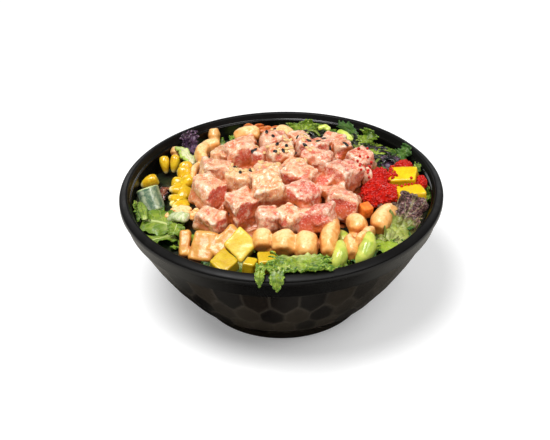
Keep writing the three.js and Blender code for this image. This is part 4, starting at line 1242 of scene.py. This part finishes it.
lettuceGreen = leafColors("lettuceGreen", "c6cc7c", "2f5410", "94aa30", "466c16", "a2b840")
lettuceFold = leafColors("lettuceFold", "ccd48c", "4e7018", "94a438", "688426", rib=0.9)
lettuceDark = leafColors("lettuceDark", "a9bd72", "2b4c1e", "587f2e", "3a6224")
lolloRosso = leafColors("lolloRosso", "ccce8a", "6a7628", "a8b050", "3c2424", "926c66", rimFrom=0.36,
                        edgeShare=0.5, tipLoss=0.0)
purpleFrill = leafColors("purpleFrill", "a48aa4", "2c1830", "6e4a68", "22121f", "8a6a84", rimFrom=0.5)
redLeaf = leafColors("redLeaf", "b47a60", "6a3426", "9c5a40", "54261c", roughness=0.26, coat=0.4)
paleRib = leafColors("paleRib", "f0f0cc", "d8dc9a", "e8ecc0", "a8c050", rib=1.0)

overRim = {"sections": 4, "waves": 1, "tip": 0.4, "point": 0.8, "teeth": 0.08, "crinkle": 0.8}
folded = {"waves": 1.2, "teeth": 0.03, "crinkle": 0.3}
curly = {"teeth": 0.2, "fringe": 1.5}
frilly = {"teeth": 0.08, "fringe": 1.3}
purple = {"sections": 5, "teeth": 0.3, "fringe": 1.4}
small = {"sections": 5}
# each blade: root, heading, (length, width, curl, lift, roll, frill), the rest of its shape
leaves = {
    "lettuce_front": (lettuceGreen, "lettuce", [
        ((8.5, -74.5, 75.2), -93, (14, 31, -12, 10, 0, 1.1), dict(tip=0.35, fringe=1.7, teeth=0.12, crinkle=1.6,
                                                                steps=(44, 84))),
        ((-3.5, -85.9, 76.5), -92, (14, 9, -110, 20, 0, 0.2), overRim),
        ((-11.5, -85.2, 76.9), -98, (12, 6, -100, 20, 0, 0.2), overRim),
        ((3, -85, 76.4), -178, (17, 6, 0, 2, 0, 0), dict(sections=3, tip=0.4, fringe=1.2, teeth=0.12)),
    ]),
    "lollo_rosso": (lolloRosso, "red_leaf", [
        ((57, -57.5, 70.6), 62, (37, 18, 22, 2, 26, 3), dict(frilly, sections=9, waves=2.6, crinkle=1.8,
                                                           steps=(80, 40))),
        ((55.5, -54, 69.4), 84, (24, 14, 20, 10, 4, 2.4), dict(frilly, sections=5, crinkle=1.6)),
    ]),
    "lettuce_left": (lettuceFold, "lettuce", [
        ((-60, -33, 68), 152, (20, 19, -34, 14, -14, 2), dict(folded, fringe=0.3)),
        ((-59, -40, 67), 204, (19, 16, -16, 8, 16, 2), dict(folded, fringe=0.35)),
        ((-75.5, -29, 70.4), 103, (19, 4.5, -8, 4, 0, 0.4), dict(small, fringe=0.2, teeth=0.02, crinkle=0.2)),
    ]),
    "red_leaf": (redLeaf, "red_leaf", [
        ((-61, 12, 67.6), 237, (20, 11, -24, 14, 26, 1.4), dict(fringe=0.5, crinkle=0.5)),
    ]),
    "purple_leaf": (purpleFrill, "red_leaf", [
        ((-52, 56, 61), 106, (17, 7, 30, 32, 10, 2), purple),
        ((-53, 57, 60.5), 138, (17, 6, 26, 32, -16, 2), purple),
    ]),
    "cabbage_rib": (paleRib, "pale_leaf", [
        ((-53, 30, 71), 112, (22, 8.5, -18, 10, 24, 0.8), dict(fringe=0.3, teeth=0.05, crinkle=0.3)),
    ]),
    "lettuce_back": (lettuceGreen, "lettuce", [
        ((15.5, 62.5, 71.5), 97, (11, 19, 26, 3, 0, 2.2), dict(waves=2.2, fringe=1.6, teeth=0.2, crinkle=2.8,
                                                             steps=(40, 52))),
    ]),
    "lettuce_curly": (lettuceGreen, "lettuce", [
        ((50, 48, 69.5), 46, (13, 12, 40, 14, -8, 2.2), dict(curly, crinkle=2.6)),
    ]),
    "lettuce_side": (lettuceDark, "lettuce", [
        ((69, 33, 68), 32, (13, 9, 36, 10, 10, 1.6), dict(small, fringe=1.2, teeth=0.2, crinkle=2.2)),
    ]),
    "wall_leaf": (lettuceDark, "lettuce", [((49, 66, 66.5), 122, (18, 7, -16, 22, -58, 0.6), small)]),
    "edge_leaf": (lettuceGreen, "lettuce", [((80, 27.5, 67.5), -80, (11, 6, 20, 4, 50, 0.6), small)]),
    "small_leaf": (lettuceGreen, "lettuce", [((-82.5, -7.5, 68.5), -78, (13, 5.5, -26, 0, -48, 0.6), small)]),
}


def makeLeaves():
    for index, (node, (material, slot, blades)) in enumerate(leaves.items()):
        bm = leafHeap()
        for k, (root, heading, shape, rest) in enumerate(blades):
            addInto(bm, blade(root, heading, shape, start=1.7 * index + k, **rest))
        if node != "lettuce_front":
            keepInBowl(bm)
        thicken(finishNode(bm, node, slot, material, recalc=False), 1.6 if node == "cabbage_rib" else 0.5)


makeLeaves()
print("leaves done")


# seaweed salad: a dark bank along the back of the wall with many loose strips

seaweed = {
    "azimuths": (96, 76, 58, 42, 26), "radius": 68, "z": 66, "width": 20, "height": 8, "rough": (0.9, 4.5, 0.4, 1.8),
    # loose strips: how many, their section, and where they are drawn from
    "strips": 190, "strip": (2.1, 0.7), "around": (20, 104), "off": (-11, 9), "top": 71.6, "fall": 0.028,
    "reach": (3, 7), "sag": 2.6,
}


def polar(azimuth, radius, z):
    return (radius * math.cos(math.radians(azimuth)), radius * math.sin(math.radians(azimuth)), z)


def seaweedSkin():
    material, tree, shader = newMaterial("seaweedWet", roughness=0.28, coat=0.45, coatRoughness=0.12)
    patch, grain, _ = addMottle(tree, 5, 0.7)
    tone = attribute(tree, "tone")
    paint(tree, shader, layered(tree, blendColors(tree, spread(tree, patch, 0.35, 0.68), "131618", "323824"),
                                (tone, 0.3, 0.1, 0.8, "2c1c26"), (tone, 0.86, 0.95, "7c8c3a")))
    addBump(tree, shader, grain, 0.15, 0.6)
    return material


def makeSeaweed():
    draw = random.Random(41)
    bm = bmesh.new()
    bm.verts.layers.float.new("tone")
    bank = [polar(a, seaweed["radius"], seaweed["z"]) for a in seaweed["azimuths"]]
    addInto(bm, strand(bank, seaweed["width"], seaweed["height"], sides=24, rings=60))
    roughen(bm, *seaweed["rough"])
    width, height = seaweed["strip"]
    for _ in range(seaweed["strips"]):
        azimuth = draw.uniform(*seaweed["around"])
        radius = seaweed["radius"] + draw.uniform(*seaweed["off"])
        top = seaweed["top"] - seaweed["fall"] * (radius - seaweed["radius"]) ** 2 + draw.uniform(-1.2, 1.6)
        heading = draw.uniform(0, 2 * math.pi)
        reach = draw.uniform(*seaweed["reach"])
        x, y, _ = polar(azimuth, radius, top)
        route = []
        for k in (-1, -0.4, 0.3, 1):
            sway = draw.uniform(-2.2, 2.2)
            route.append((x + k * reach * math.cos(heading) - sway * math.sin(heading),
                          y + k * reach * math.sin(heading) + sway * math.cos(heading),
                          top - seaweed["sag"] * k * k + draw.uniform(-0.6, 0.9)))
        part = strand(route, width * draw.uniform(0.6, 1.3), height, sides=8, rings=12,
                      twist=draw.uniform(-160, 160))
        setLayer(part, "tone", [draw.random()] * len(part.verts))
        addInto(bm, part)
    keepInBowl(bm)
    keepClear(bm)
    finishNode(bm, "seaweed_heap", "seaweed", seaweedSkin())


makeSeaweed()
print("seaweed done")


# carrot: a tangle of thin sticks behind the fish

def makeCarrot():
    draw = random.Random(23)
    bm = nugget(*carrot["core"])
    left, depth, high = carrot["start"]
    for k in range(carrot["sticks"]):
        x = left + carrot["span"] * (k + 0.5) / carrot["sticks"] + draw.uniform(-1, 1)
        y = depth + draw.uniform(-2.6, 2.6)
        top = high + draw.uniform(-2.2, 1.4)
        heading = math.radians(draw.uniform(-35, 35))
        reach = draw.uniform(3.6, 5.4)
        route = [(x + t * reach * math.cos(heading), y + t * reach * math.sin(heading) + draw.uniform(-0.5, 0.5),
                  top - carrot["sag"] * t * t) for t in (-1, -0.3, 0.4, 1)]
        addInto(bm, strand(route, carrot["thickness"] * draw.uniform(0.7, 1.2), carrot["thickness"], sides=8,
                           rings=12))
    finishNode(bm, "carrot_shreds", "carrot", carrotFlesh("carrotGrated", "dc7c34", "a84c1a"))


makeCarrot()
print("carrot done")


# small pieces: a bit of red onion, a spring onion, a green bean and two strips of pepper

pepperStrips = (([(24.5, 64, 74.2), (28.5, 64.6, 75.4), (32, 62.6, 74)], 4, 3),
                ([(36.6, 59.6, 74.6), (40.4, 55.6, 75), (44.6, 49.6, 73.4)], 4.5, 3))


def smallFood(name, low, high):
    return plainFood(name, (3.0, 0.6), (0.35, 0.65), low, high, (0.08, 0.5), roughness=0.3, coat=0.25,
                     coatRoughness=0.12, subsurface=0.2, radius=(1.5, 1.5, 0.6))


def makeSmallPieces():
    onion = nugget((-48.6, 56, 62.4), (6.5, 5, 4.5), (0, 10, 30))
    spring = strand([(-61.5, -27.5, 70.4), (-56.5, -31.5, 73.6), (-51, -35, 74.4)], 8.5, 5, sides=28, rings=30,
                    waver=0.2)
    bean = nugget((66.6, -26.6, 71.6), (8.5, 6, 5.5), (0, 8, 12))
    pepper = smallFood("pepperFlesh", "b9cc3c", "dbe47c")
    pieces = [("red_onion_bit", "red_leaf", onion, (0.4, 2.5), smallFood("redOnion", "a8262e", "d8685e")),
              ("spring_onion_piece", "pale_leaf", spring, (0.4, 3.0, 0.1, 1),
               smallFood("springOnion", "e4e2c0", "a8b878")),
              ("green_bean_piece", "lettuce", bean, (0.35, 3.0), smallFood("greenBean", "24351a", "4c6a2c"))]
    pieces += [(f"pepper_strip_{k + 1}", "pepper", strand(*strip, sides=20, rings=24, waver=0.2),
                (0.25, 2.2, 0.08, 0.8), pepper) for k, strip in enumerate(pepperStrips)]
    for node, slot, bm, unevenness, material in pieces:
        roughen(bm, *unevenness)
        finishNode(bm, node, slot, material)


makeSmallPieces()
print("small pieces done")


# salad: the bed under everything, painted near black as shade between the leaves, and the loose leaves on it

salad = {
    "level": 67, "dip": (40, 2.6), "hollow": (-54, 53, 7.5, 17), "slope": (0.016, -0.02), "outerDrop": 0.13,
    "blank": (84, 80), "gap": 0.5, "segments": 160,
    # loose leaves: how many in three turns round the bowl, where none lie, and the ranges that the six values
    # of their shape are drawn from
    "leaves": 72, "turns": 3, "radius": (60, 76), "highest": 4.5,
    "free": [(-66, 15, 15), (-54, 54, 17), (-74, -6, 9), (-74, 30, 10), (-66, -38, 11), (-58, -54, 12)],
    "shape": [(11, 19), (8, 14), (-30, 20), (4, 22), (-20, 20), (1.2, 2.4)],
}


def saladTop(x, y):
    hollowX, hollowY, depth, spreadWide = salad["hollow"]
    away = ((x - hollowX) ** 2 + (y - hollowY) ** 2) / (2 * spreadWide ** 2)
    around = math.hypot(x, y)
    drop = salad["outerDrop"] * max(0.0, around - 62)
    dip = salad["dip"][1] * smoothStep(salad["dip"][0] + 4, salad["dip"][0] - 4, around)
    slope = salad["slope"][0] * x + salad["slope"][1] * y
    return salad["level"] + slope - depth * math.exp(-away) - drop - dip


def saladCore():
    # a drum that fills the bowl, whose flat top is then laid on the salad's surface
    low = bowl["floor"] + 0.5
    wide, high = salad["blank"]
    wall = [(insideRadius(low + 2.6 * k) - salad["gap"], low + 2.6 * k) for k in range(26)]
    top = [(wide * (1 - k / 40), high) for k in range(41)]
    bm = spun([(0, low), (20, low), *wall, *top], salad["segments"])
    for v in bm.verts:
        around = fromAxis(v.co)
        if around < 1e-6:
            v.co.z = saladTop(0, 0) if v.co.z > 40 else v.co.z
            continue
        edge = wide
        x, y = v.co.x / around, v.co.y / around
        for _ in range(4):
            edge = insideRadius(saladTop(x * edge, y * edge)) - salad["gap"]
        if v.co.z > high - 1:
            widen(v, edge / wide)
            v.co.z = saladTop(v.co.x, v.co.y)
        elif v.co.z > saladTop(x * edge, y * edge):
            v.co = Vector((x * edge, y * edge, saladTop(x * edge, y * edge)))
    bmesh.ops.remove_doubles(bm, verts=bm.verts, dist=1e-3)
    for v in bm.verts:
        if v.co.z > 50:
            v.co.z += 1.0 * wobble(v.co, 6) + 0.6 * wobble(v.co, 2.4, 3) - 0.6
    return bm


def makeSalad():
    core = saladCore()
    keepClear(core)
    # the bed is painted near black: painted shade between the leaves
    shade = plainFood("saladPaintedShade", (7, 1.2), (0.4, 0.7), "12140c", "27331a", (0.5, 0.8), roughness=0.45,
                      coat=0.2, coatRoughness=0.2)
    finishPiece(core, "saladCore", "salad", shade, ["salad_bed"])
    draw = random.Random(8)
    # name, slot, look, and where the kind's share of the draws ends
    kinds = [("saladGreen", "lettuce", lettuceGreen, 0.5), ("saladDark", "lettuce", lettuceDark, 0.8),
             ("saladRed", "red_leaf", redLeaf, 0.9), ("saladPurple", "red_leaf", purpleFrill, 1.0)]
    loose = {name: leafHeap() for name, _, _, _ in kinds}
    for k in range(salad["leaves"]):
        azimuth = 360 * (k + draw.uniform(-0.4, 0.4)) / salad["leaves"] * salad["turns"]
        radius = draw.uniform(*salad["radius"])
        x, y, _ = polar(azimuth, radius, 0)
        if any(math.hypot(x - freeX, y - freeY) < reach for freeX, freeY, reach in salad["free"]):
            continue
        pick = draw.random() * (0.78 if y < 0 else 1.0)
        name = next(kind for kind, _, _, share in kinds if pick <= share)
        part = blade((x, y, saladTop(x, y) + 0.4), azimuth + draw.uniform(-80, 80),
                     [draw.uniform(*limits) for limits in salad["shape"]], waves=draw.uniform(1.6, 2.6),
                     fringe=draw.uniform(0.8, 1.5), crinkle=1.6, steps=(28, 18), start=k, tone=draw.random())
        for v in part.verts:
            v.co.z = min(v.co.z, saladTop(v.co.x, v.co.y) + salad["highest"])
        addInto(loose[name], part)
    for name, slot, material, _ in kinds:
        keepInBowl(loose[name])
        keepClear(loose[name])
        thicken(finishPiece(loose[name], name, slot, material, recalc=False))


# what the sauce ran over on the left: a smear and a few coated bits

coated = {
    "smear": ([(-62, -19.4, 69.8), (-56.5, -20.6, 71.4), (-50, -23.5, 72.6)], 5, 3.4),
    "bits": [  # place, size, turn
        ((-57.6, -24, 70.6), (6, 4.4, 3.6), (0, 12, 30)), ((-52.4, -27, 72.4), (6.4, 5, 4), (10, -8, 110)),
        ((-48.6, -31.6, 73.2), (6, 5, 4.4), (0, 10, 60)), ((-63, -24.4, 69.8), (5, 4, 3), (0, 0, 70)),
        ((-47.4, -26.4, 73), (5, 4, 3.6), (8, 0, 20)),
    ],
    "leaf": ((-57, -33, 70.2), 262, (13, 8, -20, 16, -12, 1.2)),
}


def makeCoated():
    route, width, height = coated["smear"]
    heap = strand(route, width, height, sides=24, rings=30, waver=0.3)
    for at, size, turn in coated["bits"]:
        addInto(heap, nugget(at, size, turn))
    bm = fused(heap, 0.4)
    smoothed(bm)
    roughen(bm, 0.7, 2.6, 0.2, 1.1, 4)
    # painted shade in the hollows, and painted light and shade by facing, as on the sauce
    setLayer(bm, "gap", shelter(bm, 4.0, [tunaTree]))
    setLayer(bm, "up", [v.normal.z for v in bm.verts])
    finishPiece(bm, "coatedBits", "sauce", bpy.data.materials["spicySauce"])
    thicken(finishPiece(blade(*coated["leaf"], start=5), "coatedLeaf", "lettuce", lettuceFold, recalc=False))


makeSalad()
makeCoated()
print("salad done")


# camera, floor and light

view = {"place": (-3.85, -501.67, 378.0), "aim": (-3.85, 0, 48.9), "roll": -1.41, "lens": 66.9, "sensor": 36}
lamps = [
    # name, place, aim, size, power
    ("keyLight", (-220, -240, 900), (0, 0, 60), 460, 8.0),
    ("fillLight", (420, -420, 820), (0, 0, 60), 480, 3.4),
    ("leftSheen", (-560, 950, 480), (0, 0, 70), 400, 1.3),
    ("rightSheen", (620, 900, 480), (0, 0, 70), 400, 1.1),
]


def setUp(name, data, place, facing):
    made = linked(name, data)
    made.matrix_world = Matrix.Translation(Vector(place) * mm) @ facing.to_4x4()
    return made


def makeCamera():
    data = bpy.data.cameras.new("camera")
    data.lens = view["lens"]
    data.sensor_width = view["sensor"]
    ahead = (Vector(view["aim"]) - Vector(view["place"])).normalized()
    right = ahead.cross((0, 0, 1)).normalized()
    up = right.cross(ahead)
    roll = math.radians(view["roll"])
    across = right * math.cos(roll) + up * math.sin(roll)
    upward = up * math.cos(roll) - right * math.sin(roll)
    facing = Matrix((across, upward, -ahead)).transposed()
    bpy.context.scene.camera = setUp("camera", data, view["place"], facing)


def makeLamp(name, place, aim, size, power):
    data = bpy.data.lights.new(name, "AREA")
    data.shape = "DISK"
    data.size = size * mm
    data.energy = power
    setUp(name, data, place, (Vector(aim) - Vector(place)).to_track_quat("-Z", "Y").to_matrix())


def makeFloor():
    bm = bmesh.new()
    bmesh.ops.create_circle(bm, cap_ends=True, segments=64, radius=12)
    mesh = bpy.data.meshes.new("floor")
    bm.to_mesh(mesh)
    bm.free()
    material, tree, shader = newMaterial("floorPaper", roughness=0.7, specular=0.2)
    patch, _, _ = addMottle(tree, 90, 3)
    # painted reflection: to gloss rays the floor is painted dark close to the bowl, as painted shade, and lighter to
    # the sides and further away
    place = addNode(tree, "TexCoord").outputs["Object"]
    away = addNode(tree, "VectorMath", {0: place}, operation="LENGTH").outputs["Value"]
    blotch = addNode(tree, "TexNoise", {"Vector": place, "Scale": 11.0, "Detail": 1.0}).outputs["Fac"]
    sideways = maths(tree, "ABSOLUTE", addNode(tree, "SeparateXYZ", {"Vector": place}).outputs["X"])
    near = blendColors(tree, spread(tree, blotch, 0.42, 0.58), "12110f", "54514b")
    paintedReflection = layered(tree, near, (sideways, 0.055, 0.13, "b8b4aa"), (away, 0.1, 0.36, "bcbcbc"))
    glossy = addNode(tree, "LightPath").outputs["Is Glossy Ray"]
    paint(tree, shader, blendColors(tree, glossy, blendColors(tree, patch, "f2f2f2", "f6f6f6"), paintedReflection))
    # a little light of its own keeps its shadow soft
    tree.links.new(blendColors(tree, glossy, "ffffff", "000000"), shader.inputs["Emission Color"])
    shader.inputs["Emission Strength"].default_value = 0.22
    mesh.materials.append(material)
    floor = linked("floor", mesh)


def makeWorld():
    world = bpy.data.worlds.new("studio")
    world.use_nodes = True
    tree = world.node_tree
    background = tree.nodes["Background"]
    # the room is dimmer in the gloss than it lights
    glossy = addNode(tree, "LightPath").outputs["Is Glossy Ray"]
    tree.links.new(blendColors(tree, glossy, "ffffff", "626262"), background.inputs["Color"])
    background.inputs["Strength"].default_value = 0.3
    bpy.context.scene.world = world
    bpy.context.scene.view_settings.view_transform = "Standard"


makeCamera()
for lamp in lamps:
    makeLamp(*lamp)
makeFloor()
makeWorld()
